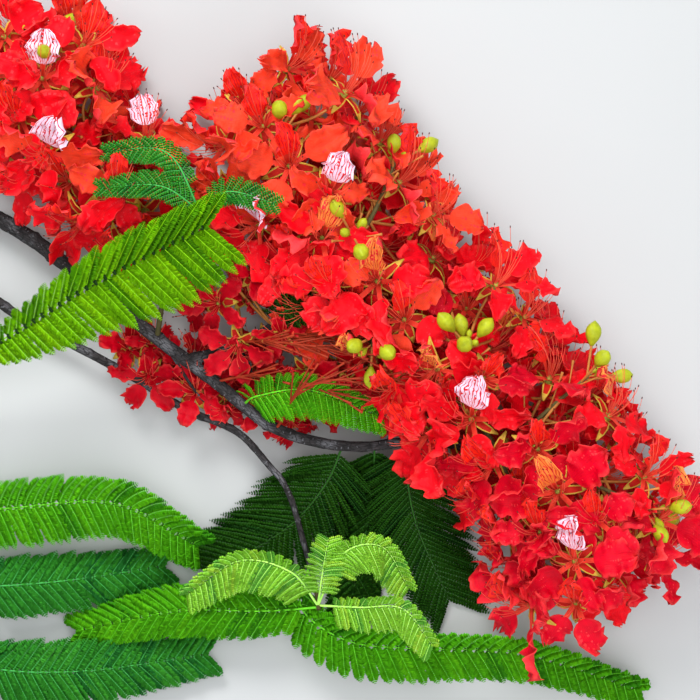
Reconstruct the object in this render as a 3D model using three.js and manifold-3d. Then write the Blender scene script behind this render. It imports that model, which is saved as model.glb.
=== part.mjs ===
// A cut flowering branch of a flame tree, lying down: woody limbs, racemes of large
// red blooms on long stalks, and twice-pinnate leaves with their leaflets in flat blades.
// Millimetres, +Z up. The layout is drawn with +X to the right, +Y away and Z above the
// floor, and the finished group is then set down with the middle of its foot at the origin.
import * as THREE from "three";
import { mergeVertices } from "three/addons/utils/BufferGeometryUtils.js";
import Module from "manifold-3d";

const wasm = await Module();
wasm.setup();

// Driving sizes
const GAP = 0.35; // left between any two pieces
const SOFT_HEIGHT = 14; // below this, what hangs down is pressed flat by the floor
const SOFT_SHARE = 0.2;
const PETAL = 68; // from the middle of a bloom to the tip of a petal
const PETAL_HALF = 21; // half the width of a petal's blade
const CLAW_HALF = 2.6; // half the width of a petal's narrow foot
const SEPAL = 31;
const SEPAL_HALF = 6.5; // half the width of a sepal at its foot
const STAMEN = 58;
const STALK = 66; // a bloom's stalk, from the raceme's axis to the bloom
const STALK_RADIUS = 1.3;
const BLOOM_SPACE = 70; // closest that two blooms' middles may stand
const BUD = 24;
const BUD_RADIUS = 7;
const PINNA_THICK = 0.9;
const GOLDEN = 2.39996; // the turn from one bloom or bud to the next, in radians

const v = (x, y, z) => new THREE.Vector3(x, y, z);
const UP = v(0, 0, 1);

// A number from 0 to 1 that is always the same for the same two numbers.
function chance(a, b) {
  const s = Math.sin(a * 127.1 + b * 311.7) * 43758.5453;
  return s - Math.floor(s);
}

const spread = (a, b, size) => (chance(a, b) - 0.5) * 2 * size;

// The floor holds up what would hang through it.
function pressed(p) {
  if (p.z >= SOFT_HEIGHT) return p;
  return v(p.x, p.y, SOFT_HEIGHT + (p.z - SOFT_HEIGHT) * SOFT_SHARE);
}

// The point at a share t of a smooth route through its points.
function onRoute(points, t) {
  const last = points.length - 1;
  const s = Math.min(Math.max(t, 0), 1) * last;
  const i = Math.min(Math.floor(s), last - 1);
  const u = s - i;
  const b = points[i];
  const c = points[i + 1];
  const a = i > 0 ? points[i - 1] : b.clone().multiplyScalar(2).sub(c);
  const d = i + 2 <= last ? points[i + 2] : c.clone().multiplyScalar(2).sub(b);
  const along = (k) => {
    const bend = 2 * a[k] - 5 * b[k] + 4 * c[k] - d[k] + u * (3 * (b[k] - c[k]) + d[k] - a[k]);
    return b[k] + 0.5 * u * (c[k] - a[k] + u * bend);
  };
  return v(along("x"), along("y"), along("z"));
}

function headingOf(points, t) {
  const step = 0.01;
  return onRoute(points, Math.min(t + step, 1)).sub(onRoute(points, Math.max(t - step, 0))).normalize();
}

// Any direction square to another.
function squareTo(direction) {
  const other = Math.abs(direction.z) < 0.9 ? UP : v(1, 0, 0);
  return other.clone().cross(direction).normalize();
}

// A closed surface that is built up ring by ring. A ring turns rightwards along its way, and may
// be one point.
class Shell {
  points = [];
  triangles = [];

  ring(points) {
    const start = this.points.length;
    this.points.push(...points);
    return points.map((_, k) => start + k);
  }

  // The wall between two rings, which may differ in how many points they have.
  stitch(a, b) {
    let i = 0;
    let j = 0;
    const at = (ring, k) => ring[k % ring.length];
    while (i < a.length || j < b.length) {
      const next = (i + 1) / a.length - (j + 1) / b.length;
      const tie = Math.abs(next) < 1e-9 && a.length <= b.length;
      if (j >= b.length || (i < a.length && (next < -1e-9 || tie))) {
        if (a.length > 1) this.triangles.push([at(a, i), at(a, i + 1), at(b, j)]);
        i += 1;
      } else {
        if (b.length > 1) this.triangles.push([at(a, i), at(b, j + 1), at(b, j)]);
        j += 1;
      }
    }
  }

  quad(a, b, c, d) {
    this.triangles.push([a, b, c], [a, c, d]);
  }

  base(ring) {
    for (let k = 1; k + 1 < ring.length; k++) this.triangles.push([ring[0], ring[k + 1], ring[k]]);
  }

  cap(ring) {
    for (let k = 1; k + 1 < ring.length; k++) this.triangles.push([ring[0], ring[k], ring[k + 1]]);
  }

  // The finished solid; what is soft lies on the floor where it would hang through it.
  solid(soft) {
    const points = soft ? this.points.map(pressed) : this.points;
    return new wasm.Manifold(
      new wasm.Mesh({
        numProp: 3,
        vertProperties: new Float32Array(points.flatMap((p) => [p.x, p.y, p.z])),
        triVerts: new Uint32Array(this.triangles.flat()),
      }),
    );
  }
}

// A solid through rings, one after the other, closed at both ends.
function skin(rings, soft) {
  const shell = new Shell();
  const placedRings = rings.map((ring) => shell.ring(ring));
  for (let i = 0; i + 1 < rings.length; i++) shell.stitch(placedRings[i], placedRings[i + 1]);
  shell.base(placedRings[0]);
  shell.cap(placedRings[rings.length - 1]);
  return shell.solid(soft);
}

// A closed tapering tube through a list of { at, radius }, grown on all sides by extra.
function tube(stations, sides, extra = 0) {
  const last = stations.length - 1;
  let side = null;
  return skin(
    stations.map(({ at, radius }, i) => {
      const before = stations[Math.max(i - 1, 0)].at;
      const ahead = stations[Math.min(i + 1, last)].at.clone().sub(before).normalize();
      side = side ? side.clone().addScaledVector(ahead, -side.dot(ahead)).normalize() : squareTo(ahead);
      const other = ahead.clone().cross(side);
      const shift = i === 0 ? -extra : i === last ? extra : 0;
      const middle = at.clone().addScaledVector(ahead, shift);
      return roundRing(middle, side, other, radius + extra / Math.cos(Math.PI / sides), sides, 0);
    }),
  );
}

// Points round a middle, from the direction side towards the direction other.
function roundRing(middle, side, other, radius, sides, turn) {
  return Array.from({ length: sides }, (_, k) => {
    const a = turn + (2 * Math.PI * k) / sides;
    const spot = middle.clone().addScaledVector(side, radius * Math.cos(a));
    return spot.addScaledVector(other, radius * Math.sin(a));
  });
}

// A limb along a route, tapering from one radius to another, made thicker by extra.
function limbSolid(limb, extra = 0) {
  const stations = [];
  const rings = limb.rings;
  for (let i = 0; i <= rings; i++) {
    const t = i / rings;
    const flare = 1 + 0.25 * Math.max(0, 1 - t * rings);
    const radius = (limb.from + (limb.to - limb.from) * t) * flare;
    stations.push({ at: onRoute(limb.route, t), radius });
  }
  return tube(stations, limb.sides, extra);
}

// The section of a thin blade that is flat on its face and keeled on its back, grown by extra.
function sectionOf({ at, ahead, face, half, thick }, extra) {
  const across = ahead.clone().cross(face).normalize();
  const spot = (aside, up) => at.clone().addScaledVector(across, aside).addScaledVector(face, up);
  const wide = half + extra;
  if (!extra) return [spot(wide, 0), spot(0, -thick), spot(-wide, 0)];
  const keel = spot(0, -thick - extra);
  return [spot(wide, extra), spot(wide, -extra), keel, spot(-wide, -extra), spot(-wide, extra)];
}

// A thin blade through its stations between a pointed root and a pointed tip, grown by extra.
function blade({ root, stations, tip }, extra = 0) {
  if (!extra) return skin([[root], ...stations.map((station) => sectionOf(station, 0)), [tip]], true);
  const first = stations[0];
  const last = stations[stations.length - 1];
  const ends = [
    { ...first, at: root.clone().addScaledVector(first.ahead, -extra), half: 0, thick: 0 },
    { ...last, at: tip.clone().addScaledVector(last.ahead, extra), half: 0, thick: 0 },
  ];
  return skin([ends[0], ...stations, ends[1]].map((station) => sectionOf(station, extra)), true);
}

// Limbs: the cut limb, the boughs that leave it, and the short one that carries the far racemes
const LIMBS = [
  {
    name: "main_limb",
    route: [
      v(-575, 228, 21), v(-455, 182, 29), v(-350, 128, 42), v(-285, 82, 54), v(-210, 22, 66),
      v(-138, -32, 74), v(-75, -80, 78), v(0, -98, 80), v(80, -92, 86), v(150, -108, 92),
    ],
    from: 9, to: 4.2, rings: 16, sides: 8,
  },
  {
    name: "second_limb", parent: "main_limb",
    route: [
      v(-455, 182, 29), v(-405, 88, 26), v(-350, 39, 32), v(-286, 5, 38), v(-221, -30, 42),
      v(-168, -62, 48), v(-117, -84, 52), v(-84, -118, 54), v(-62, -150, 54), v(-38, -235, 44),
    ],
    from: 5.6, to: 2.8, rings: 14, sides: 6,
  },
  {
    name: "lower_limb", parent: "main_limb",
    route: [v(-505, 203, 25), v(-508, 90, 17), v(-490, -50, 15), v(-462, -180, 14), v(-440, -300, 13)],
    from: 5.8, to: 3, rings: 10, sides: 7,
  },
  {
    name: "upper_limb", parent: "main_limb",
    route: [v(-165, -12, 71), v(-117, 7, 80), v(-80, 24, 84), v(-48, 55, 88), v(-10, 82, 92)],
    from: 4.6, to: 2.8, rings: 8, sides: 7,
  },
  {
    name: "far_limb", parent: "main_limb",
    route: [v(-420, 166, 33), v(-395, 195, 45), v(-350, 215, 56), v(-305, 228, 64)],
    from: 4.6, to: 2.8, rings: 7, sides: 7,
  },
];

// Racemes, fused where they spring from one foot: where each axis bends and ends, and how many buds
// stand round its tip
const RACEMES = {
  upper_racemes: {
    foot: v(-8.5, 84.5, 93.5),
    axes: [
      { bend: v(-64, 138, 112), tip: v(-66, 228, 138), buds: 4 },
      { bend: v(24, 138, 104), tip: v(46, 190, 110), buds: 3 },
      { bend: v(0, 102, 124), tip: v(4, 112, 150), buds: 2 },
      { bend: v(22, 46, 114), tip: v(22, 4, 148), buds: 3 },
    ],
  },
  lower_racemes: {
    foot: v(152.3, -109, 92.6),
    axes: [
      { bend: v(116, -44, 112), tip: v(116, 6, 148), buds: 4 },
      { bend: v(192, -66, 108), tip: v(240, -24, 116), buds: 3 },
      { bend: v(226, -128, 104), tip: v(306, -162, 116), buds: 3 },
      { bend: v(170, -166, 90), tip: v(200, -236, 78), buds: 3 },
    ],
  },
  far_racemes: {
    foot: v(-302.8, 228.6, 64.6),
    axes: [
      { bend: v(-298, 256, 90), tip: v(-300, 290, 112), buds: 3 },
      { bend: v(-262, 206, 84), tip: v(-222, 168, 96), buds: 3 },
    ],
  },
};

// Masses of blooms: the line along the middle of each, how far a bloom's middle may stand from that
// line, how low and how high, and how many there are
const MASSES = [
  {
    line: [v(-94, 248, 0), v(-28, 165, 0), v(42, 66, 0), v(142, -40, 0), v(218, -142, 0), v(252, -232, 0)],
    half: 74, low: 60, high: 146, count: 33,
  },
  { line: [v(-326, 316, 0), v(-294, 222, 0), v(-200, 135, 0)], half: 54, low: 56, high: 118, count: 8 },
];

// Leaves: the midrib's route, the bare share of it, how many pairs of pinnae, their length on its
// two sides, half their width, their angle from the midrib and how far they lift out of the leaf's
// plane on its two sides, which way they hang, whether they are drawn broad to the tip, and whether
// they are short by the leaf's foot
const LEAVES = {
  left_leaf: {
    route: [v(-489, -51, 18), v(-440, -32, 60), v(-350, 8, 118), v(-250, 66, 148), v(-140, 122, 158)],
    bare: 0.16, pairs: 17, reach: [60, 52], half: 6.4, angle: [84, 42], lift: [-0.15, 0.6],
    hang: v(0, 0, -0.1), full: true, short: true,
  },
  middle_leaf: {
    route: [v(-108, -55, 77), v(-92, -46, 102), v(-40, -40, 118), v(32, -66, 108)],
    bare: 0.16, pairs: 10, reach: [30, 20], half: 5, angle: [70, 70], lift: [-0.1, 0.4],
    hang: v(0, -0.5, -0.1),
  },
  dark_leaf_near: {
    route: [v(-8, -99, 78), v(-26, -140, 44), v(-66, -186, 24), v(-142, -232, 15)],
    bare: 0.06, pairs: 12, reach: [70, 58], half: 8.8, angle: [60, 60], lift: [0, 0],
    hang: v(0, -0.15, -0.1),
  },
  dark_leaf_far: {
    route: [v(58, -95, 82), v(60, -140, 48), v(72, -190, 26), v(104, -262, 16)],
    bare: 0.05, pairs: 12, reach: [62, 66], half: 8.8, angle: [58, 58], lift: [0, 0],
    hang: v(0.1, -0.15, -0.1),
  },
  dark_leaf_middle: {
    route: [v(25, -98, 79), v(24, -132, 44), v(18, -184, 20), v(-4, -286, 13)],
    bare: 0.06, pairs: 9, reach: [46, 46], half: 8.8, angle: [54, 54], lift: [0, 0],
    hang: v(0, -0.15, -0.1),
  },
  low_left_leaf: {
    route: [v(-461, -182, 16), v(-410, -172, 34), v(-340, -162, 50), v(-240, -158, 58), v(-158, -202, 44)],
    bare: 0.12, pairs: 15, reach: [40, 34], half: 6.6, angle: [72, 72], lift: [0, 0.25],
    hang: v(0.1, -0.55, -0.1), full: true,
  },
  lower_left_leaf: {
    route: [v(-449, -240, 15), v(-390, -246, 30), v(-300, -240, 34), v(-196, -226, 22)],
    bare: 0.1, pairs: 11, reach: [38, 34], half: 7.4, angle: [60, 60], lift: [0, 0],
    hang: v(0, -0.1, -0.1),
  },
  bottom_left_leaf: {
    route: [v(-441, -296, 14), v(-380, -330, 26), v(-280, -334, 32), v(-150, -318, 24)],
    bare: 0.1, pairs: 13, reach: [40, 38], half: 7, angle: [62, 62], lift: [0.1, 0.1],
    hang: v(0, -0.1, -0.1), full: true,
  },
  bottom_right_leaf: {
    route: [
      v(-42, -223, 45), v(-50, -266, 50), v(-4, -298, 58), v(60, -306, 60), v(180, -312, 58),
      v(300, -352, 36),
    ],
    bare: 0.1, pairs: 16, reach: [36, 24], half: 6.8, angle: [66, 66], lift: [0.05, 0.5],
    hang: v(0.1, -0.4, -0.1), full: true,
  },
};

// Leafy shoots: a twig and the leaves that spring from it, fused in one piece
const SHOOTS = {
  upper_shoot: {
    twig: {
      route: [v(-197, 12, 70), v(-186, 60, 96), v(-164, 104, 126), v(-146, 138, 148)], from: 2.8, to: 2.2,
    },
    leaves: [
      {
        route: [v(-147, 136, 147), v(-185, 160, 156), v(-245, 160, 142)],
        bare: 0.1, pairs: 7, reach: [17, 17], half: 4, angle: [50, 50], lift: [0, 0.3],
        hang: v(0, -0.2, 0),
      },
      {
        route: [v(-147, 136, 147), v(-178, 192, 160), v(-240, 196, 142)],
        bare: 0.2, pairs: 7, reach: [13, 17], half: 4, angle: [60, 60], lift: [0.3, 0],
        hang: v(0, -0.4, 0),
      },
      {
        route: [v(-147, 136, 147), v(-118, 154, 164), v(-72, 142, 168)],
        bare: 0.2, pairs: 5, reach: [16, 16], half: 4, angle: [55, 55], lift: [0, 0.2],
        hang: v(0, -0.1, 0),
      },
    ],
  },
  young_shoot: {
    twig: { route: [v(-38, -234, 44), v(-34, -252, 54), v(-32, -266, 62)], from: 2.6, to: 2.4 },
    leaves: [
      {
        route: [v(-33, -262, 60), v(-60, -225, 84), v(-112, -214, 80), v(-168, -250, 58)],
        bare: 0.12, pairs: 9, reach: [14, 32], half: 4.6, angle: [76, 76], lift: [0.6, 0],
        hang: v(0, -0.5, -0.1),
      },
      {
        route: [v(-33, -262, 60), v(-28, -226, 88), v(-22, -190, 98)],
        bare: 0.2, pairs: 5, reach: [22, 20], half: 4, angle: [62, 62], lift: [0.2, 0.4],
        hang: v(0, -0.3, 0),
      },
      {
        route: [v(-33, -262, 60), v(-8, -206, 96), v(32, -198, 96), v(60, -242, 74)],
        bare: 0.2, pairs: 8, reach: [30, 14], half: 4.4, angle: [74, 74], lift: [0, 0.6],
        hang: v(0, -0.5, -0.1),
      },
      {
        route: [v(-33, -262, 60), v(10, -262, 74), v(54, -264, 72), v(84, -300, 82)],
        bare: 0.12, pairs: 7, reach: [26, 14], half: 4.4, angle: [72, 72], lift: [0, 0.5],
        hang: v(0, -0.4, 0.3),
      },
      {
        route: [v(-33, -264, 60), v(-90, -268, 58), v(-180, -270, 44), v(-282, -292, 26)],
        bare: 0.1, pairs: 11, reach: [34, 32], half: 7, angle: [56, 56], lift: [0, 0.1],
        hang: v(0, -0.2, -0.1),
      },
    ],
  },
};

// What is already in place, grown by the gap, so that later pieces keep clear of it
const placed = [];

function place(grown, owner) {
  placed.push({ grown, owner, box: grown.boundingBox() });
}

function boxesMeet(a, b) {
  return [0, 1, 2].every((k) => a.min[k] < b.max[k] && b.min[k] < a.max[k]);
}

function nearTo(solid, owner) {
  const box = solid.boundingBox();
  return placed.filter((other) => other.owner !== owner && boxesMeet(box, other.box));
}

// True if a piece keeps its gap from everything in place, other than its owner's own pieces.
function isClear(solid, owner) {
  return nearTo(solid, owner).every((other) => solid.intersect(other.grown).isEmpty());
}

// What is left of a piece once it is cut clear of everything in place.
function cutClear(solid, owner) {
  return nearTo(solid, owner).reduce((rest, other) => largestPart(rest.subtract(other.grown)), solid);
}

function largestPart(solid) {
  const parts = solid.decompose();
  return parts.reduce((best, part) => (part.volume() > best.volume() ? part : best), parts[0]);
}

function join(solids) {
  return largestPart(solids.slice(1).reduce((sum, next) => sum.add(next), solids[0]));
}

function bezier(a, b, c, t) {
  const s = 1 - t;
  return a.clone().multiplyScalar(s * s).addScaledVector(b, 2 * s * t).addScaledVector(c, t * t);
}

const lerp = (a, b, t) => a + (b - a) * t;
const part = (x) => x - Math.floor(x);

// The point of a mass's middle line that is nearest to p, seen from above.
function nearestOnLine(mass, p) {
  const steps = 60;
  let best = null;
  for (let i = 0; i <= steps; i++) {
    const spot = onRoute(mass.line, i / steps);
    const away = v(p.x - spot.x, p.y - spot.y, 0);
    if (!best || away.length() < best.away.length()) best = { spot, away };
  }
  return best;
}

// Where the blooms of a mass stand before they push each other apart.
function bloomsOf(mass, number) {
  return Array.from({ length: mass.count }, (_, i) => {
    const t = (i + 0.5) / mass.count;
    const ahead = headingOf(mass.line, t);
    const aside = (part(i * 0.618 + 0.2) * 2 - 1) * mass.half;
    const middle = onRoute(mass.line, t).addScaledVector(ahead.cross(UP), aside);
    middle.z = lerp(mass.low, mass.high, part(i * 0.382 + 0.4));
    return { mass, middle, seed: number * 40 + i };
  });
}

// Blooms that stand too close push each other apart, and each stays in its mass.
function relax(blooms) {
  const rounds = 40;
  for (let round = 0; round < rounds; round++) {
    for (let i = 0; i < blooms.length; i++)
      for (let j = i + 1; j < blooms.length; j++) {
        const apart = blooms[j].middle.clone().sub(blooms[i].middle);
        const short = BLOOM_SPACE - apart.length();
        if (short <= 0) continue;
        apart.normalize().multiplyScalar(short * 0.35);
        blooms[i].middle.sub(apart);
        blooms[j].middle.add(apart);
      }
    for (const { mass, middle } of blooms) {
      const { spot, away } = nearestOnLine(mass, middle);
      const over = mass.half / Math.max(away.length(), mass.half);
      middle.x = spot.x + away.x * over;
      middle.y = spot.y + away.y * over;
      middle.z = Math.min(Math.max(middle.z, mass.low), mass.high);
    }
  }
}

// Each bloom hangs on the raceme whose axis is about a stalk's length away.
function chooseFoot(bloom) {
  const steps = 16;
  let best = Infinity;
  for (const { foot, axes } of Object.values(RACEMES))
    for (const { bend, tip } of axes)
      for (let i = 2; i <= steps; i++) {
        const from = onRoute([foot, bend, tip], (0.96 * i) / steps);
        const off = Math.abs(from.distanceTo(bloom.middle) - STALK);
        if (off >= best) continue;
        best = off;
        bloom.from = from;
      }
}

// A bloom faces outwards from its mass and up, and its standard petal points to +Y.
function turnBloom(bloom) {
  const { mass, middle, seed } = bloom;
  const { away } = nearestOnLine(mass, middle);
  const height = (middle.z - mass.low) / (mass.high - mass.low);
  const facing = away.multiplyScalar(1.1 / mass.half);
  facing.x += spread(seed, 1, 0.35);
  facing.y += spread(seed, 2, 0.35);
  facing.z = 0.15 + 0.9 * height;
  bloom.facing = facing.normalize();
  const standard = v(spread(seed, 4, 0.5), 1, 0.3);
  standard.addScaledVector(bloom.facing, -standard.dot(bloom.facing)).normalize();
  bloom.standard = standard;
  bloom.side = bloom.facing.clone().cross(standard);
}

// The direction that leaves a bloom's middle at a turn round its face and an opening from it.
function outOf(bloom, turn, opening) {
  return bloom.standard
    .clone()
    .multiplyScalar(Math.cos(turn) * Math.sin(opening))
    .addScaledVector(bloom.side, Math.sin(turn) * Math.sin(opening))
    .addScaledVector(bloom.facing, Math.cos(opening));
}

// Along a petal: the share of its length, half its width there and its thickness
const PETAL_SHAPE = [[0.4, CLAW_HALF, 2], [0.68, PETAL_HALF, 3], [0.93, PETAL_HALF * 0.62, 2]];
const STANDARD_SHAPE = [
  [0.45, CLAW_HALF * 1.3, 2], [0.72, PETAL_HALF * 0.72, 3], [0.93, PETAL_HALF * 0.5, 2],
];

// The five petals: the first is the standard, which stands up, and four spread round the face.
function petalsOf(bloom) {
  const { seed } = bloom;
  return Array.from({ length: 5 }, (_, k) => {
    const standard = k === 0;
    return {
      turn: (k * 2 * Math.PI) / 5 + spread(seed, 10 + k, 0.14),
      opens: standard ? 0.55 : 0.95 + spread(seed, 20 + k, 0.2),
      ends: standard ? 1.1 : 1.75 + spread(seed, 30 + k, 0.4),
      length: PETAL * (standard ? 0.92 : 1 + spread(seed, 40 + k, 0.08)) * bloom.size,
      shape: standard ? STANDARD_SHAPE : PETAL_SHAPE,
    };
  });
}

// A petal's path, which arches from one opening to another, as the stations of a blade.
function petalPath(bloom, { turn, opens, ends, length, shape }) {
  const root = bloom.middle.clone();
  const knee = root.clone().addScaledVector(outOf(bloom, turn, opens), length * 0.45);
  const tip = knee.clone().addScaledVector(outOf(bloom, turn, ends), length * 0.55);
  const across = outOf(bloom, turn + Math.PI / 2, Math.PI / 2);
  const stations = shape.map(([share, half, thick]) => {
    const at = bezier(root, knee, tip, share);
    const before = bezier(root, knee, tip, share - 0.02);
    const ahead = bezier(root, knee, tip, share + 0.02).sub(before).normalize();
    return { at, ahead, face: ahead.clone().cross(across).normalize(), half, thick };
  });
  return { root, stations, tip };
}

// The points of the five sepals' star, from one tip to the next; reaches gives each one's share of
// its length.
function starOf(bloom, reaches, extra) {
  const hub = bloom.middle.clone().addScaledVector(bloom.facing, -4.5);
  return Array.from({ length: 10 }, (_, k) => {
    const turn = ((k - 1) * Math.PI) / 5;
    if (k % 2) return hub.clone().addScaledVector(outOf(bloom, turn, 1.6), SEPAL_HALF + 2 * extra);
    const opening = 1.72 + spread(bloom.seed, 50 + k / 2, 0.12);
    return hub.clone().addScaledVector(outOf(bloom, turn, opening), SEPAL * reaches[k / 2] + 3 * extra);
  });
}

// The star of sepals as a solid of its own, to test what is near.
function starSolid(bloom, reaches, extra) {
  const ends = [-10 - 2 * extra, 3 + 2 * extra].map((distance) => [
    bloom.middle.clone().addScaledVector(bloom.facing, distance),
  ]);
  return skin([ends[0], starOf(bloom, reaches, extra), ends[1]], true);
}

// Where a bloom's stalk runs, from the raceme's axis to the back of its cup.
function stalkStations(bloom) {
  const { middle, facing, from } = bloom;
  const foot = middle.clone().addScaledVector(facing, -12);
  const knee = foot.clone().addScaledVector(facing, -foot.distanceTo(from) * 0.45);
  return [0, 0.5, 1].map((t) => ({
    at: bezier(from, knee, foot, t),
    ahead: bezier(from, knee, foot, t + 0.03).sub(bezier(from, knee, foot, t - 0.03)).normalize(),
    radius: STALK_RADIUS * (1.3 - 0.3 * t),
  }));
}

// A bloom's stamens as one spike, which arches towards the standard.
function stamenStations(bloom) {
  const { middle, facing, standard } = bloom;
  const knee = middle.clone().addScaledVector(facing, STAMEN * 0.55);
  const tip = knee.clone().addScaledVector(facing, STAMEN * 0.25).addScaledVector(standard, STAMEN * 0.4);
  return [0, 0.5, 1].map((t) => ({ at: bezier(middle, knee, tip, t), radius: 1.4 - 0.8 * t }));
}

// The whole bloom in one surface: stalk, sepals, cup, petals and stamens.
function bloomSolid(bloom) {
  const { middle, facing, standard, side } = bloom;
  const shell = new Shell();
  const turn = -Math.PI / 5;
  const crown = (distance, radius) =>
    shell.ring(roundRing(middle.clone().addScaledVector(facing, distance), standard, side, radius, 5, turn));

  let upright = standard;
  const stalk = stalkStations(bloom)
    .reverse()
    .map(({ at, ahead, radius }) => {
      upright = upright.clone().addScaledVector(ahead, -upright.dot(ahead)).normalize();
      return shell.ring(roundRing(at, upright, ahead.clone().cross(upright), radius, 5, turn));
    })
    .reverse();
  const star = shell.ring(starOf(bloom, bloom.reaches, 0));
  const low = crown(-2.5, 3.8);
  const high = crown(2, 3.2);
  shell.base(stalk[0]);
  [...stalk, star, low].reduce((before, next) => {
    shell.stitch(before, next);
    return next;
  });

  for (let k = 0; k < 5; k++) {
    const next = (k + 1) % 5;
    if (!bloom.petals[k]) {
      shell.quad(low[k], low[next], high[next], high[k]);
      continue;
    }
    const { stations, tip } = bloom.petals[k];
    const sections = [...stations.map((station) => sectionOf(station, 0)), [tip]];
    const rings = sections.map((ring) => shell.ring(ring));
    [[high[k], low[k], low[next], high[next]], ...rings].reduce((before, ring) => {
      shell.stitch(before, ring);
      return ring;
    });
  }

  if (bloom.stamens) {
    const [, waist, tip] = stamenStations(bloom);
    const ring = shell.ring(roundRing(waist.at, standard, side, waist.radius, 3, turn));
    shell.stitch(high, ring);
    shell.stitch(ring, shell.ring([tip.at]));
  } else {
    shell.stitch(high, shell.ring([middle.clone().addScaledVector(facing, 5)]));
  }
  return shell.solid(true);
}

// The axis of a raceme, with its buds on short stalks round its tip.
function racemeParts(foot, { bend, tip, buds }, number, extra) {
  const axis = [foot, bend, tip];
  const rings = 5;
  const stations = [];
  for (let i = 0; i <= rings; i++)
    stations.push({ at: onRoute(axis, i / rings), radius: 3 - 1.5 * (i / rings) });
  const parts = [tube(stations, 5, extra)];
  for (let j = 0; j < buds; j++) {
    const t = 0.9 + (0.09 * j) / buds;
    const ahead = headingOf(axis, t);
    const side = squareTo(ahead);
    const other = ahead.clone().cross(side);
    const turn = j * GOLDEN + chance(number, 7) * 2 * Math.PI;
    const way = ahead.clone().multiplyScalar(0.75)
      .addScaledVector(side, 0.66 * Math.cos(turn)).addScaledVector(other, 0.66 * Math.sin(turn));
    const root = onRoute(axis, t);
    const out = (distance) => root.clone().addScaledVector(way, distance);
    const reach = 16 + 16 * chance(number, 60 + j);
    const bud = [
      { at: root, radius: 1.1 },
      { at: out(reach), radius: 1.4 },
      { at: out(reach + BUD * 0.55), radius: BUD_RADIUS },
      { at: out(reach + BUD), radius: 1.5 },
    ];
    parts.push(tube(bud, 4, extra));
  }
  return parts;
}

// Where a leaf's midrib is at a share of its length, and which way is ahead, across and up there.
function ribAt(leaf, t) {
  const ahead = headingOf(leaf.route, t);
  const across = ahead.clone().cross(UP).normalize();
  return { at: onRoute(leaf.route, t), ahead, across, up: across.clone().cross(ahead), radius: 1.8 - 1 * t };
}

// One pinna as the stations of a blade: its root on the midrib, its direction and its size.
function pinnaPath(leaf, k, way, seed) {
  const share = (k + 0.5) / leaf.pairs;
  const { at, ahead, across, up, radius } = ribAt(leaf, leaf.bare + (1 - leaf.bare) * share);
  const out = across.clone().multiplyScalar(way ? -1 : 1);
  const angle = THREE.MathUtils.degToRad(leaf.angle[way] - 14 * share + spread(seed, way, 4));
  const direction = ahead.clone().multiplyScalar(Math.cos(angle)).addScaledVector(out, Math.sin(angle));
  direction.addScaledVector(up, leaf.lift[way]).normalize();
  const growth = leaf.short ? THREE.MathUtils.clamp(2 * share - 0.4, 0.3, 1.3) : 1;
  const belly = 0.72 + 0.4 * Math.sin(Math.PI * Math.min(share * 0.9 + 0.1, 1));
  const length = leaf.reach[way] * belly * growth;
  const bent = direction.clone().add(leaf.hang).addScaledVector(UP, spread(seed, 5 + way, 0.1)).normalize();
  const root = at.clone().addScaledVector(out, radius * 0.7);
  const knee = root.clone().addScaledVector(direction, length * 0.5);
  const tip = knee.clone().addScaledVector(bent, length * 0.5);
  const forward = tip.clone().sub(root).normalize();
  const face = forward.clone().cross(up).cross(forward).normalize();
  const shape = leaf.full ? [[0.2, 0.85], [0.8, 0.8]] : [[0.45, 1]];
  const stations = shape.map(([t, wide]) => ({
    at: bezier(root, knee, tip, t), ahead: forward, face, half: leaf.half * wide, thick: PINNA_THICK,
  }));
  return { root, stations, tip };
}

// A leaf in one surface: its midrib, and each pinna that is clear of what is in place.
function leafSolid(leaf, owner, number) {
  const shell = new Shell();
  const ribRing = (t) => {
    const { at, across, up, radius } = ribAt(leaf, t);
    return shell.ring(roundRing(at, up, across, radius, 3, 0));
  };
  const own = [];
  let before = ribRing(0);
  shell.base(before);
  for (let k = 0; k < leaf.pairs; k++) {
    const along = (share) => leaf.bare + ((1 - leaf.bare) * (k + share)) / leaf.pairs;
    const [a, b] = [ribRing(along(0.36)), ribRing(along(0.64))];
    shell.stitch(before, a);
    shell.quad(a[1], a[2], b[2], b[1]);
    for (const way of [0, 1]) {
      const path = pinnaPath(leaf, k, way, number * 50 + k);
      const solid = blade(path);
      const box = solid.boundingBox();
      const missed = (other) => !boxesMeet(box, other.box) || solid.intersect(other.grown).isEmpty();
      const free = own.every((other) => other.k === k || missed(other));
      const face = way ? [b[0], b[2], a[2], a[0]] : [a[0], a[1], b[1], b[0]];
      if (!free || !isClear(solid, owner)) {
        shell.quad(...face);
        continue;
      }
      const rings = [...path.stations.map((station) => sectionOf(station, 0)), [path.tip]];
      rings.map((ring) => shell.ring(ring)).reduce((last, ring) => {
        shell.stitch(last, ring);
        return ring;
      }, face);
      const grown = blade(path, GAP);
      own.push({ k, grown, box: grown.boundingBox() });
    }
    before = b;
  }
  shell.stitch(before, shell.ring([onRoute(leaf.route, 1)]));
  for (const { grown } of own) place(grown, owner);
  const rib = Array.from({ length: 9 }, (_, i) => ribAt(leaf, i / 8));
  place(tube(rib, 3, GAP), owner);
  return shell.solid(true);
}

const COLOURS = {
  bark: new THREE.MeshStandardMaterial({ color: 0x4a4340, roughness: 0.9, metalness: 0 }),
  stem: new THREE.MeshStandardMaterial({ color: 0x8a9a3c, roughness: 0.7, metalness: 0 }),
  bloom: new THREE.MeshStandardMaterial({ color: 0xe0141c, roughness: 0.55, metalness: 0 }),
  leaf: new THREE.MeshStandardMaterial({ color: 0x3c9a1c, roughness: 0.6, metalness: 0 }),
};

const branch = new THREE.Group();
branch.name = "flame_tree_branch";
const bounds = new THREE.Box3();

// Points that stand closer than this are one point, so that no sliver is left by a cut.
const WELD = 0.01;

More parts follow.
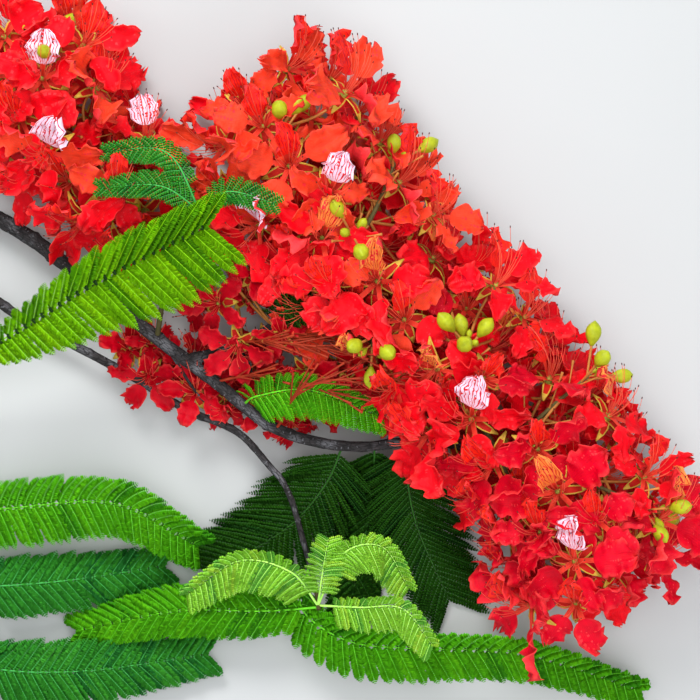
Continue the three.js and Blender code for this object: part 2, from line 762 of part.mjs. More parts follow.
// A finished solid as a named mesh in the group, with its own middle as its place.
function addMesh(name, solid, material) {
  const mesh = solid.getMesh();
  const geometry = new THREE.BufferGeometry();
  geometry.setAttribute("position", new THREE.BufferAttribute(mesh.vertProperties, 3));
  geometry.setIndex(new THREE.BufferAttribute(mesh.triVerts, 1));
  const merged = mergeVertices(geometry, WELD);
  const corners = [...merged.index.array];
  const kept = [];
  for (let i = 0; i < corners.length; i += 3) {
    const [a, b, c] = corners.slice(i, i + 3);
    if (a !== b && b !== c && c !== a) kept.push(a, b, c);
  }
  merged.setIndex(kept);
  merged.computeBoundingBox();
  const middle = merged.boundingBox.getCenter(v(0, 0, 0));
  bounds.union(merged.boundingBox);
  merged.translate(-middle.x, -middle.y, -middle.z);
  const object = new THREE.Mesh(merged, material);
  object.name = name;
  object.position.copy(middle);
  branch.add(object);
}

// The woody limbs, each cut clear of the one that it leaves.
for (const limb of LIMBS) {
  addMesh(limb.name, cutClear(limbSolid(limb), limb.name), COLOURS.bark);
  place(limbSolid(limb, GAP), limb.name);
}

// The racemes' axes and buds.
Object.entries(RACEMES).forEach(([name, { foot, axes }], number) => {
  const partsOf = (extra) => axes.flatMap((axis, i) => racemeParts(foot, axis, number * 10 + i, extra));
  addMesh(name, cutClear(join(partsOf(0)), name), COLOURS.stem);
  for (const grown of partsOf(GAP)) place(grown, name);
});

let leafNumber = 0;

function addLeaves(names) {
  for (const name of names)
    addMesh(name, cutClear(leafSolid(LEAVES[name], name, leafNumber++), name), COLOURS.leaf);
}

// A leafy shoot: a twig, with its leaves fused to it.
function addShoot(name) {
  const { twig, leaves } = SHOOTS[name];
  const wood = { ...twig, rings: 5, sides: 6 };
  place(limbSolid(wood, GAP), name);
  const parts = leaves.map((leaf) => leafSolid(leaf, name, leafNumber++));
  addMesh(name, cutClear(join([limbSolid(wood), ...parts]), name), COLOURS.leaf);
}

addLeaves(["left_leaf", "middle_leaf"]);
addShoot("upper_shoot");

const SHORTEST = 0.3; // the least share of a sepal's length
const TRIES = 6;

// A petal is closed a little more at each try until it is clear, or else it is left out.
function growPetal(bloom, petal) {
  for (let attempt = 0; attempt < TRIES; attempt++) {
    const closing = 0.24 * attempt;
    const narrow = 1 - 0.09 * attempt;
    const path = petalPath(bloom, {
      ...petal,
      opens: petal.opens - closing * 0.6,
      ends: petal.ends - closing,
      length: petal.length * (1 - 0.05 * attempt),
      shape: petal.shape.map(([share, half, thick]) => [share, half * narrow, thick]),
    });
    const solid = blade(path);
    if (!isClear(solid, bloom.name)) continue;
    if (bloom.beside.some((other) => !solid.intersect(other).isEmpty())) continue;
    place(blade(path, GAP), bloom.name);
    const beyondClaw = { ...path, root: path.stations[0].at, stations: path.stations.slice(1) };
    bloom.beside.push(blade(beyondClaw, GAP));
    return path;
  }
  return null;
}

// Each sepal is as long as what is near it lets it be.
function growSepals(bloom) {
  for (let k = 0; k < 5; k++)
    for (const reach of [1, 0.75, 0.5]) {
      const tried = bloom.reaches.map((other, i) => (i === k ? reach : other));
      if (!isClear(starSolid(bloom, tried, 0), bloom.name)) continue;
      bloom.reaches = tried;
      break;
    }
  place(starSolid(bloom, bloom.reaches, GAP), bloom.name);
}

// The blooms: first every stalk and cup, then the rest of each, the highest blooms first.
const blooms = MASSES.flatMap((mass, number) => bloomsOf(mass, number));
relax(blooms);
blooms.forEach((bloom, i) => {
  bloom.name = "bloom_" + String(i + 1).padStart(2, "0");
  bloom.size = 1 + spread(bloom.seed, 8, 0.06);
  turnBloom(bloom);
  chooseFoot(bloom);
  bloom.reaches = Array(5).fill(SHORTEST);
  bloom.beside = [];
  place(tube(stalkStations(bloom), 5, GAP), bloom.name);
  place(starSolid(bloom, bloom.reaches, GAP), bloom.name);
});
for (const bloom of [...blooms].sort((a, b) => b.middle.z - a.middle.z)) {
  bloom.petals = petalsOf(bloom).map((petal) => growPetal(bloom, petal));
  growSepals(bloom);
  bloom.stamens = isClear(tube(stamenStations(bloom), 3), bloom.name);
  if (bloom.stamens) place(tube(stamenStations(bloom), 3, GAP), bloom.name);
}
for (const bloom of blooms) addMesh(bloom.name, cutClear(bloomSolid(bloom), bloom.name), COLOURS.bloom);

// The young shoot and the leaves that hang below.
addShoot("young_shoot");
addLeaves(Object.keys(LEAVES).slice(2));

// Set down with the middle of its foot at the origin.
const centre = bounds.getCenter(v(0, 0, 0));
branch.position.set(-centre.x, -centre.y, -bounds.min.z);

export default branch;
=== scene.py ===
# The looks of a cut flowering branch of a flame tree, lying on a pale floor: barky limbs, racemes of
# large scarlet blooms with yellow-green buds, and twice-pinnate leaves.
#
# Shapes are drawn in the layout of the part's own source, in millimetres, and to_frame() turns them
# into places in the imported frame, in metres. Limbs, racemes, blooms and leaves follow the same rules
# and sizes as the solids that they replace, carried to finer twigs, petals and leaflets.
import functools
import math

import bpy
import numpy as np
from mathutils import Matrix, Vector


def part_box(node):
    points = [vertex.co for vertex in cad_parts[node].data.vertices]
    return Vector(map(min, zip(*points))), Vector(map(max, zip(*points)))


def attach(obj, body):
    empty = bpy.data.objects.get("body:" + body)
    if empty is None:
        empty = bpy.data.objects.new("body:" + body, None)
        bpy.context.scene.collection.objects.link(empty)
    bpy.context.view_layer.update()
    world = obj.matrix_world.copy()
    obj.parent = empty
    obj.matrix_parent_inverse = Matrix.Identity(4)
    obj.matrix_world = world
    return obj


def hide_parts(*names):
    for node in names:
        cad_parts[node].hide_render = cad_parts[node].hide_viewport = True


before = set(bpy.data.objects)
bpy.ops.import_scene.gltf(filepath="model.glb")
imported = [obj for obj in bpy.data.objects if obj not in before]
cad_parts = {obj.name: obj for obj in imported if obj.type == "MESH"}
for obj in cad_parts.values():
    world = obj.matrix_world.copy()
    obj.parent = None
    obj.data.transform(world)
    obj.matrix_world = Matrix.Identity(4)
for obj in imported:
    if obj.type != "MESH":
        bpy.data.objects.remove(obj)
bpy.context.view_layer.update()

bl_info = {
    "name": "Flame Tree Branch",
    "version": (1, 0, 0),
    "blender": (4, 5, 0),
    "location": "View3D > Sidebar > Flame Branch",
    "description": "Builds a cut flowering flame tree branch around its packed solids",
    "category": "Add Mesh",
}

MM = 0.001
UP = np.array((0.0, 0.0, 1.0))
GOLDEN = 2.39996  # the turn from one bud, bloom or leaf scar to the next, in radians

# Sizes that the solids share with the looks, in millimetres
FLOOR_HEIGHT = 9.8  # where the floor is in the layout
SOFT_HEIGHT = 14  # below this, what hangs down is pressed flat by the floor
SOFT_SHARE = 0.2  # how much is left of what hangs lower than that
BLOOM_SPACE = 70  # closest that the middles of two large blooms stand
SPARE_SPACE = 46  # closest that a smaller bloom between them stands to any other
STALK = 66  # a bloom's stalk, from the raceme's axis to the bloom

# How far the lowest petals, bark and ribs of pinnae stay above the floor, in millimetres
PETAL_REST = 0.3
BARK_REST = 0.8
RIB_REST = 1.4


length_property = functools.partial(bpy.props.FloatProperty, unit="LENGTH")
colour_property = functools.partial(bpy.props.FloatVectorProperty, subtype="COLOR", size=3, min=0, max=1)


class BranchSizes(bpy.types.PropertyGroup):
    """Sizes of the branch's own pieces."""

    petal_length: length_property(
        name="Petal length", description="From the middle of a bloom to a petal's tip",
        default=0.068, min=0.02)
    petal_half_width: length_property(
        name="Petal half width", description="Half the width of a petal's blade", default=0.021, min=0.005)
    petal_thickness: length_property(
        name="Petal thickness", description="How thick a petal is", default=0.0004, min=0.0001)
    crinkle: length_property(
        name="Crinkle", description="How far a petal's margin waves out of its plane",
        default=0.0043, min=0.0)
    sepal_length: length_property(
        name="Sepal length", description="From the cup to a sepal's tip", default=0.031, min=0.005)
    sepal_half_width: length_property(
        name="Sepal half width", description="Half the width of a sepal", default=0.0052, min=0.001)
    stamen_length: length_property(
        name="Stamen length", description="From the middle of a bloom to an anther",
        default=0.058, min=0.01)
    filament_radius: length_property(
        name="Filament radius", description="Radius of a stamen's thread", default=0.00044, min=0.0001)
    bud_length: length_property(
        name="Bud length", description="Length of a closed bud", default=0.024, min=0.005)
    bud_radius: length_property(
        name="Bud radius", description="Radius of a closed bud", default=0.0078, min=0.002)
    leaflet_spacing: length_property(
        name="Leaflet spacing", description="Distance between leaflets along a pinna",
        default=0.0021, min=0.001)
    leaflet_slant: bpy.props.FloatProperty(
        name="Leaflet slant", description="Angle between a leaflet and its pinna's rib",
        default=math.radians(66), min=0.3, max=1.6, unit="ROTATION")
    bark_step: length_property(
        name="Bark step", description="Distance between the rings of a limb's mesh",
        default=0.0024, min=0.001)


class BranchColours(bpy.types.PropertyGroup):
    """Base colours of the branch and its stage."""

    scarlet: colour_property(
        name="Scarlet", description="Most petals", default=(0.94, 0.002, 0.011))
    crimson: colour_property(
        name="Crimson", description="Petals towards the far end", default=(0.70, 0.0, 0.016))
    vermilion: colour_property(
        name="Vermilion", description="Petals towards the cut end", default=(0.90, 0.052, 0.018))
    # Painted shade: the blooms under the limbs and by the spent racemes take this darker red
    shaded_red: colour_property(
        name="Shaded red", description="Petals in the shade of the limbs", default=(0.56, 0.0, 0.010))
    # Painted highlight: a paler rim on some petals, for the light that catches their edges
    petal_rim_highlight: colour_property(
        name="Petal rim highlight", description="Painted highlight on the margin of some petals", default=(1.0, 0.11, 0.085))
    petal_back: colour_property(
        name="Petal back", description="The paler back of a petal", default=(0.90, 0.03, 0.04))
    petal_claw: colour_property(
        name="Petal claw", description="The narrow foot of a petal", default=(0.88, 0.055, 0.03))
    standard_white: colour_property(
        name="White standard", description="The streaked petal of a few young blooms",
        default=(0.92, 0.66, 0.80))
    standard_gold: colour_property(
        name="Golden standard", description="The streaked petal of some older blooms",
        default=(0.92, 0.26, 0.05))
    standard_red: colour_property(
        name="Red standard", description="The streaked petal of the other blooms",
        default=(0.92, 0.02, 0.006))
    sepal_inside: colour_property(
        name="Sepal inside", description="The red face of a sepal", default=(0.60, 0.02, 0.012))
    sepal_edge: colour_property(
        name="Sepal edge", description="The yellow-green margin of a sepal", default=(0.62, 0.40, 0.05))
    sepal_outside: colour_property(
        name="Sepal outside", description="The green back of a sepal", default=(0.30, 0.32, 0.05))
    filament: colour_property(
        name="Filament", description="The threads of the stamens", default=(0.92, 0.11, 0.06))
    anther: colour_property(
        name="Anther", description="The heads of the stamens", default=(0.10, 0.02, 0.015))
    bud: colour_property(
        name="Bud", description="Closed buds", default=(0.40, 0.45, 0.014))
    stalk: colour_property(
        name="Stalk", description="Stalks of blooms and buds", default=(0.55, 0.22, 0.05))
    spent_stalk: colour_property(
        name="Spent stalk", description="Bare stalks whose blooms have dropped",
        default=(0.36, 0.036, 0.012))
    raceme: colour_property(
        name="Raceme", description="Axes of the racemes", default=(0.14, 0.12, 0.04))
    bark: colour_property(
        name="Bark", description="Bark of the limbs", default=(0.030, 0.027, 0.028))
    # Grey bloom on the bark; on the upper side it is also a painted highlight
    bark_bloom_and_highlight: colour_property(
        name="Bark bloom and highlight", description="Grey bloom on the bark's upper side, also a painted highlight", default=(0.17, 0.17, 0.185))
    cut_wood: colour_property(
        name="Cut wood", description="The cut end", default=(0.62, 0.45, 0.26))
    # Leaf colours: partly the leaves' own green, partly painted light and shade, lighter in full light and
    # darker in half shade and under the blooms
    leaf_bright: colour_property(
        name="Bright leaf", description="Leaves in full light", default=(0.235, 0.64, 0.002))
    leaf_fresh: colour_property(
        name="Fresh leaf", description="Leaves in softer light", default=(0.105, 0.53, 0.006))
    leaf_young: colour_property(
        name="Young leaf", description="Leaves of the young shoot", default=(0.37, 0.96, 0.055))
    leaf_green: colour_property(
        name="Green leaf", description="Leaves in half shade", default=(0.045, 0.36, 0.028))
    leaf_dark: colour_property(
        name="Dark leaf", description="Leaves under the blooms", default=(0.021, 0.105, 0.005))
    floor: colour_property(
        name="Floor", description="The pale floor", default=(0.50, 0.51, 0.51))


# Limbs: the cut limb, the boughs that leave it, and the short one that carries the far racemes
LIMBS = {
    "main_limb": dict(
        route=[(-575, 228, 21), (-455, 182, 29), (-350, 128, 42), (-285, 82, 54), (-210, 22, 66),
               (-138, -32, 74), (-75, -80, 78), (0, -98, 80), (80, -92, 86), (150, -108, 92)],
        radii=(9, 4.2), rings=16),
    "second_limb": dict(
        route=[(-455, 182, 29), (-405, 88, 26), (-350, 39, 32), (-286, 5, 38), (-221, -30, 42),
               (-168, -62, 48), (-117, -84, 52), (-84, -118, 54), (-62, -150, 54), (-38, -235, 44)],
        radii=(5.6, 2.8), rings=14),
    "lower_limb": dict(
        route=[(-505, 203, 25), (-508, 90, 17), (-490, -50, 15), (-462, -180, 14), (-440, -300, 13)],
        radii=(5.8, 3), rings=10),
    "upper_limb": dict(
        route=[(-165, -12, 71), (-117, 7, 80), (-80, 24, 84), (-48, 55, 88), (-10, 82, 92)],
        radii=(4.6, 2.8), rings=8),
    "far_limb": dict(
        route=[(-420, 166, 33), (-395, 195, 45), (-350, 215, 56), (-305, 228, 64)],
        radii=(4.6, 2.8), rings=7),
}

# Twigs that only the looks have, which carry the blooms in the shade of the limbs
TWIGS = [
    dict(route=[(-186, 4, 68), (-172, -22, 62), (-158, -44, 52), (-143, -62, 40)],
         radii=(2.0, 1.1), rings=6),
    dict(route=[(-117, 7, 80), (-104, -14, 62), (-98, -40, 46)], radii=(2.0, 1.2), rings=5),
]

# Spent racemes that only the looks have: bare axes with the stalks of dropped blooms
SPENT_RACEMES = [
    dict(foot=(-75, -80, 80), bend=(-40, -34, 132), tip=(58, -28, 146)),
    dict(foot=(-117, 7, 80), bend=(-74, 8, 122), tip=(28, -6, 150)),
    dict(foot=(-80, 24, 84), bend=(-46, 12, 112), tip=(34, 18, 142)),
    dict(foot=(-138, -32, 74), bend=(-84, -26, 104), tip=(6, -48, 126)),
]

# Racemes: where they spring from, where each axis bends and ends, and how many buds stand round
# its tip
RACEMES = {
    "upper_racemes": dict(
        foot=(-8.5, 84.5, 93.5),
        axes=[dict(bend=(-64, 138, 112), tip=(-66, 228, 138), buds=4),
              dict(bend=(24, 138, 104), tip=(46, 190, 110), buds=3),
              dict(bend=(0, 102, 124), tip=(4, 112, 150), buds=2),
              dict(bend=(22, 46, 114), tip=(22, 4, 148), buds=3)]),
    "lower_racemes": dict(
        foot=(152.3, -109, 92.6),
        axes=[dict(bend=(116, -44, 112), tip=(116, 6, 148), buds=4),
              dict(bend=(192, -66, 108), tip=(240, -24, 116), buds=3),
              dict(bend=(226, -128, 104), tip=(306, -162, 116), buds=3),
              dict(bend=(170, -166, 90), tip=(200, -236, 78), buds=3)]),
    "far_racemes": dict(
        foot=(-302.8, 228.6, 64.6),
        axes=[dict(bend=(-298, 256, 90), tip=(-300, 290, 112), buds=3),
              dict(bend=(-262, 206, 84), tip=(-222, 168, 96), buds=3)]),
}

# Masses of blooms: the line along the middle of each, how far a bloom's middle may stand from that
# line, how low and how high, how many large blooms there are, and how many smaller ones between
# them. The last two have smaller blooms alone: in the shade of the limbs, and by the spent racemes.
MASSES = [
    dict(line=[(-94, 248, 0), (-28, 165, 0), (42, 66, 0), (142, -40, 0), (218, -142, 0),
               (252, -232, 0)],
         half=74, low=60, high=146, count=33, spare=72),
    dict(line=[(-326, 316, 0), (-294, 222, 0), (-200, 135, 0)],
         half=54, low=56, high=118, count=8, spare=22),
    dict(line=[(-236, 8, 0), (-165, -34, 0), (-92, -42, 0), (-16, -66, 0)],
         half=24, low=22, high=50, count=0, spare=15),
    dict(line=[(-140, 92, 0), (-112, 44, 0), (-48, 14, 0), (24, -14, 0)],
         half=32, low=58, high=98, count=0, spare=17),
]
SHADED = 2  # the number of the mass in the shade of the limbs
SPARE_DROP = 24  # how far below a mass its smaller blooms may stand
DEEP = 80  # smaller blooms lower than this stand in the shade of others

# Where the white standards show, seen from above
WHITE_SPOTS = [(110, -35), (257, -170), (-215, 258), (-284, 235), (-305, 285), (-75, 120), (12, 190)]
# A white standard's blade is STANDARD_TOP from its own bloom's middle. Another bloom hides it whose
# middle is nearer to it than COVER_SPACE, seen from above, and less than COVER_DROP below it. Each
# such bloom counts as if the blade were COVER_COST farther from its spot. All are in millimetres.
STANDARD_TOP, COVER_SPACE, COVER_DROP, COVER_COST = 48, 40, 15, 24

SHADED_LEAF = "shaded_leaf"  # a leaf that only the looks have

# Leaves: the midrib's route, the bare share of it, how many pairs of pinnae, their length on its two
# sides, half their width, their angle from the midrib, how far they lift out of the leaf's plane on
# its two sides, which way they hang, and whether they are short by the leaf's foot
LEAVES = {
    "left_leaf": dict(
        route=[(-489, -51, 18), (-440, -32, 60), (-350, 8, 118), (-250, 66, 148), (-140, 122, 158)],
        bare=0.16, pairs=17, reach=(60, 52), half=6.4, angle=(84, 42), lift=(-0.15, 0.6),
        hang=(0, 0, -0.1), short=True),
    "middle_leaf": dict(
        route=[(-108, -55, 77), (-92, -46, 102), (-40, -40, 118), (32, -66, 108)],
        bare=0.16, pairs=10, reach=(30, 20), half=5, angle=(70, 70), lift=(-0.1, 0.4),
        hang=(0, -0.5, -0.1)),
    "dark_leaf_near": dict(
        route=[(-8, -99, 78), (-26, -140, 44), (-66, -186, 24), (-142, -232, 15)],
        bare=0.06, pairs=12, reach=(70, 58), half=8.8, angle=(60, 60), lift=(0, 0),
        hang=(0, -0.15, -0.1)),
    "dark_leaf_far": dict(
        route=[(58, -95, 82), (60, -140, 48), (72, -190, 26), (104, -262, 16)],
        bare=0.05, pairs=12, reach=(62, 66), half=8.8, angle=(58, 58), lift=(0, 0),
        hang=(0.1, -0.15, -0.1)),
    "dark_leaf_middle": dict(
        route=[(25, -98, 79), (24, -132, 44), (18, -184, 20), (-4, -286, 13)],
        bare=0.06, pairs=9, reach=(46, 46), half=8.8, angle=(54, 54), lift=(0, 0),
        hang=(0, -0.15, -0.1)),
    "low_left_leaf": dict(
        route=[(-461, -182, 16), (-410, -172, 34), (-340, -162, 50), (-240, -158, 58), (-158, -202, 44)],
        bare=0.12, pairs=15, reach=(40, 34), half=6.6, angle=(72, 72), lift=(0, 0.25),
        hang=(0.1, -0.55, -0.1)),
    "lower_left_leaf": dict(
        route=[(-449, -240, 15), (-390, -246, 30), (-300, -240, 34), (-196, -226, 22)],
        bare=0.1, pairs=11, reach=(38, 34), half=7.4, angle=(60, 60), lift=(0, 0),
        hang=(0, -0.1, -0.1)),
    "bottom_left_leaf": dict(
        route=[(-441, -296, 14), (-380, -330, 26), (-280, -334, 32), (-150, -318, 24)],
        bare=0.1, pairs=13, reach=(40, 38), half=7, angle=(62, 62), lift=(0.1, 0.1),
        hang=(0, -0.1, -0.1)),
    "bottom_right_leaf": dict(
        route=[(-42, -223, 45), (-50, -266, 50), (-4, -298, 58), (60, -306, 60), (180, -312, 58),
               (300, -352, 36)],
        bare=0.1, pairs=16, reach=(36, 24), half=6.8, angle=(66, 66), lift=(0.05, 0.5),
        hang=(0.1, -0.4, -0.1)),
    SHADED_LEAF: dict(
        route=[(-80, 24, 84), (-62, 40, 112), (-22, 46, 126), (28, 18, 128)],
        bare=0.1, pairs=8, reach=(22, 24), half=5, angle=(60, 60), lift=(0, 0.2), hang=(0, -0.3, 0)),
}

# Leafy shoots: a twig and the leaves that spring from it
SHOOTS = {
    "upper_shoot": dict(
        twig=dict(route=[(-197, 12, 70), (-186, 60, 96), (-164, 104, 126), (-146, 138, 148)],
                  radii=(2.8, 2.2)),
        leaves=[
            dict(route=[(-147, 136, 147), (-185, 160, 156), (-245, 160, 142)], bare=0.1, pairs=7,
                 reach=(17, 17), half=4, angle=(50, 50), lift=(0, 0.3), hang=(0, -0.2, 0)),
            dict(route=[(-147, 136, 147), (-178, 192, 160), (-240, 196, 142)], bare=0.2, pairs=7,
                 reach=(13, 17), half=4, angle=(60, 60), lift=(0.3, 0), hang=(0, -0.4, 0)),
            dict(route=[(-147, 136, 147), (-118, 154, 164), (-72, 142, 168)], bare=0.2, pairs=5,
                 reach=(16, 16), half=4, angle=(55, 55), lift=(0, 0.2), hang=(0, -0.1, 0)),
        ]),
    "young_shoot": dict(
        twig=dict(route=[(-38, -234, 44), (-34, -252, 54), (-32, -266, 62)], radii=(2.6, 2.4)),
        leaves=[
            dict(route=[(-33, -262, 60), (-60, -225, 84), (-112, -214, 80), (-168, -250, 58)], bare=0.12,
                 pairs=9, reach=(14, 32), half=4.6, angle=(76, 76), lift=(0.6, 0), hang=(0, -0.5, -0.1)),
            dict(route=[(-33, -262, 60), (-28, -226, 88), (-22, -190, 98)], bare=0.2,
                 pairs=5, reach=(22, 20), half=4, angle=(62, 62), lift=(0.2, 0.4), hang=(0, -0.3, 0)),
            dict(route=[(-33, -262, 60), (-8, -206, 96), (32, -198, 96), (60, -242, 74)], bare=0.2,
                 pairs=8, reach=(30, 14), half=4.4, angle=(74, 74), lift=(0, 0.6), hang=(0, -0.5, -0.1)),
            dict(route=[(-33, -262, 60), (10, -262, 74), (54, -264, 72), (84, -300, 82)], bare=0.12,
                 pairs=7, reach=(26, 14), half=4.4, angle=(72, 72), lift=(0, 0.5), hang=(0, -0.4, 0.3)),
            dict(route=[(-33, -264, 60), (-90, -268, 58), (-180, -270, 44), (-282, -292, 26)], bare=0.1,
                 pairs=11, reach=(34, 32), half=7, angle=(56, 56), lift=(0, 0.1), hang=(0, -0.2, -0.1),
                 kind="fresh"),
        ]),
}

# The order in which the leaves are counted, which seeds their small differences
LEAF_ORDER = ["left_leaf", "middle_leaf", "upper_shoot", "young_shoot", "dark_leaf_near",
              "dark_leaf_far", "dark_leaf_middle", "low_left_leaf", "lower_left_leaf",
              "bottom_left_leaf", "bottom_right_leaf", SHADED_LEAF]


# Numbers and routes

def chance(a, b):
    """A number from 0 to 1 that is always the same for the same two numbers."""
    s = math.sin(a * 127.1 + b * 311.7) * 43758.5453
    return s - math.floor(s)


def spread(a, b, size):
    """A number from -size to size that is always the same for the same two numbers."""
    return (chance(a, b) - 0.5) * 2 * size


def part(x):
    """What a number has after its point."""
    return x - math.floor(x)


def point(*xyz):
    return np.array(xyz, float)


def unit(vectors):
    return vectors / np.linalg.norm(vectors, axis=-1, keepdims=True)


def rise(x, low, high):
    """Goes smoothly from 0 at low to 1 at high."""
    t = np.clip((x - low) / (high - low), 0, 1)
    return t * t * (3 - 2 * t)


def on_route(points, t):
    """The points at shares t of a smooth route through its points."""
    p = np.asarray(points, float)
    p = np.vstack([2 * p[0] - p[1], p, 2 * p[-1] - p[-2]])
    last = len(p) - 3
    s = np.clip(np.asarray(t, float), 0, 1) * last
    i = np.minimum(s.astype(int), last - 1)
    u = (s - i)[..., None]
    a, b, c, d = p[i], p[i + 1], p[i + 2], p[i + 3]
    return b + 0.5 * u * (c - a + u * (2 * a - 5 * b + 4 * c - d + u * (3 * (b - c) + d - a)))


def heading_of(points, t):
    """The way ahead at a share t of a route."""
    step = 0.01
    return unit(on_route(points, np.minimum(t + step, 1)) - on_route(points, np.maximum(t - step, 0)))


def bezier(a, b, c, t):
    t = np.asarray(t, float)[..., None]
    return a * (1 - t) ** 2 + b * 2 * (1 - t) * t + c * t * t


def square_to(direction):
    """Any direction square to another."""
    other = UP if abs(direction[2]) < 0.9 else point(1, 0, 0)
    return unit(np.cross(other, direction))


def frames_along(at):
    """The directions ahead, aside and across at each of a line's points, without twist."""
    ahead = unit(np.vstack([at[1:2], at[2:], at[-1:]]) - np.vstack([at[:1], at[:-2], at[-2:-1]]))
    side = square_to(ahead[0])
    sides = []
    for way in ahead:
        side = unit(side - way * side.dot(way))
        sides.append(side)
    sides = np.array(sides)
    return ahead, sides, np.cross(ahead, sides)


def ring_points(middles, sides, others, radii, turns):
    """Rings of points round middles, one row for each ring."""
    cos, sin = np.cos(turns)[None, :, None], np.sin(turns)[None, :, None]
    return middles[:, None] + radii[..., None] * (sides[:, None] * cos + others[:, None] * sin)


def route_length(at):
    """How far along its line each of some points is."""
    return np.concatenate([[0], np.cumsum(np.linalg.norm(np.diff(at, axis=0), axis=1))])


def limb_radius(limb, t):
    """A limb's radius at shares t: an even taper, with a flare at its foot."""
    start, end = limb["radii"]
    return (start + (end - start) * t) * (1 + 0.25 * np.maximum(0, 1 - t * limb["rings"]))


@functools.cache
def layout_shift():
    """How far the frame is from the layout, found where the solid main limb is in both."""
    limb = LIMBS["main_limb"]
    t = np.arange(limb["rings"] + 1) / limb["rings"]
    at = on_route(limb["route"], t)
    _, sides, others = frames_along(at)
    turns = np.arange(8) * math.pi / 4
    rings = ring_points(at, sides, others, limb_radius(limb, t)[:, None], turns)
    return np.array(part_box("main_limb")[0]) / MM - rings.reshape(-1, 3).min(0)


def to_frame(points):
    """Places in the frame, in metres, of points in the layout, in millimetres."""
    return (np.asarray(points, float) + layout_shift()) * MM


def pressed(points):
    """The floor holds up what would hang through it."""
    points = np.array(points, float)
    z = points[..., 2]
    z = np.where(z < SOFT_HEIGHT, SOFT_HEIGHT + (z - SOFT_HEIGHT) * SOFT_SHARE, z)
    points[..., 2] = np.maximum(z, FLOOR_HEIGHT + PETAL_REST)
    return points


# Meshes and pieces

def store_values(mesh, label, values):
    """Stores a number or a vector for each of a mesh's points."""
    values = np.asarray(values, np.float32)
    kind, slot = ("FLOAT", "value") if values.ndim == 1 else ("FLOAT_VECTOR", "vector")
    mesh.attributes.new(label, kind, "POINT").data.foreach_set(slot, values.ravel())


def make_mesh(name, points, faces, materials, kinds=None, uv=None, attributes=None):
    """A smooth mesh in the frame. kinds gives each face's material, uv each point's place in its map."""
    mesh = bpy.data.meshes.new(name)
    mesh.from_pydata(to_frame(points).tolist(), [], faces)
    for material in materials:
        mesh.materials.append(material)
    if kinds is not None:
        mesh.polygons.foreach_set("material_index", np.asarray(kinds, np.int32))
    mesh.polygons.foreach_set("use_smooth", np.ones(len(mesh.polygons), bool))
    if uv is not None:
        corners = np.zeros(len(mesh.loops), np.int32)
        mesh.loops.foreach_get("vertex_index", corners)
        layer = mesh.uv_layers.new(name="Blade")
        layer.uv.foreach_set("vector", np.asarray(uv, np.float32)[corners].ravel())
    for label, values in (attributes or {}).items():
        store_values(mesh, label, values)
    mesh.validate()
    mesh.update()
    return mesh


def add_piece(name, mesh, slot, *nodes):
    """A finished mesh as a piece of the branch, which stands for the CAD nodes that are named."""
    piece = bpy.data.objects.new(name, mesh)
    bpy.context.scene.collection.objects.link(piece)
    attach(piece, "root")
    if nodes:
        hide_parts(*nodes)


def add_node(tree, kind, feeds=None, **settings):
    """A node in a tree. feeds gives its inputs, each a value or another node's output."""
    made = tree.nodes.new(kind)
    for key, value in settings.items():
        setattr(made, key, value)
    for key, value in (feeds or {}).items():
        if isinstance(value, bpy.types.NodeSocket):
            tree.links.new(value, made.inputs[key])
        else:
            made.inputs[key].default_value = value
    return made


def maths(tree, operation, *values, clamp=False):
    """The result of a sum on numbers or other nodes' outputs."""
    return add_node(tree, "ShaderNodeMath", dict(enumerate(values)), operation=operation,
                    use_clamp=clamp).outputs[0]


def mixed(tree, factor, first, second):
    """A colour between two others."""
    return add_node(tree, "ShaderNodeMix", {"Factor": factor, 6: first, 7: second},
                    data_type="RGBA").outputs[2]


def mapped(tree, value, low=0.0, high=1.0, to_low=0.0, to_high=1.0):
    """A value carried from one range to another, and held inside it."""
    return add_node(tree, "ShaderNodeMapRange", {
        "Value": value, "From Min": low, "From Max": high, "To Min": to_low, "To Max": to_high}).outputs[0]


def noise(tree, place, scale, detail=2.0, flat=False, **feeds):
    """The height of soft noise at a place, or on a blade's own flat map."""
    feeds.update(Vector=place, Scale=scale, Detail=detail)
    return add_node(tree, "ShaderNodeTexNoise", feeds,
                    noise_dimensions="2D" if flat else "3D").outputs["Fac"]


def new_tree(name, kind, inputs, outputs):
    """A node tree with named inputs and outputs, and the nodes at its two ends."""
    tree = bpy.data.node_groups.new(name, kind)
    for label, socket_type, default in inputs:
        socket = tree.interface.new_socket(label, in_out="INPUT", socket_type=socket_type)
        if default is not None:
            socket.default_value = default
    for label, socket_type in outputs:
        tree.interface.new_socket(label, in_out="OUTPUT", socket_type=socket_type)
    return tree, tree.nodes.new("NodeGroupInput"), tree.nodes.new("NodeGroupOutput")


def grow(name, source, tree, inputs):
    """What a node tree makes of a source mesh, as a plain mesh."""
    holder = bpy.data.objects.new(name + "_source", source)
    bpy.context.scene.collection.objects.link(holder)
    modifier = holder.modifiers.new("Grow", "NODES")
    modifier.node_group = tree
    for item in tree.interface.items_tree:
        if item.in_out == "INPUT" and item.name in inputs:
            modifier[item.identifier] = inputs[item.name]
    graph = bpy.context.evaluated_depsgraph_get()
    mesh = bpy.data.meshes.new_from_object(holder.evaluated_get(graph))
    mesh.name = name
    holder.modifiers.remove(modifier)
    bpy.data.objects.remove(holder)
    bpy.data.meshes.remove(source)
    return mesh


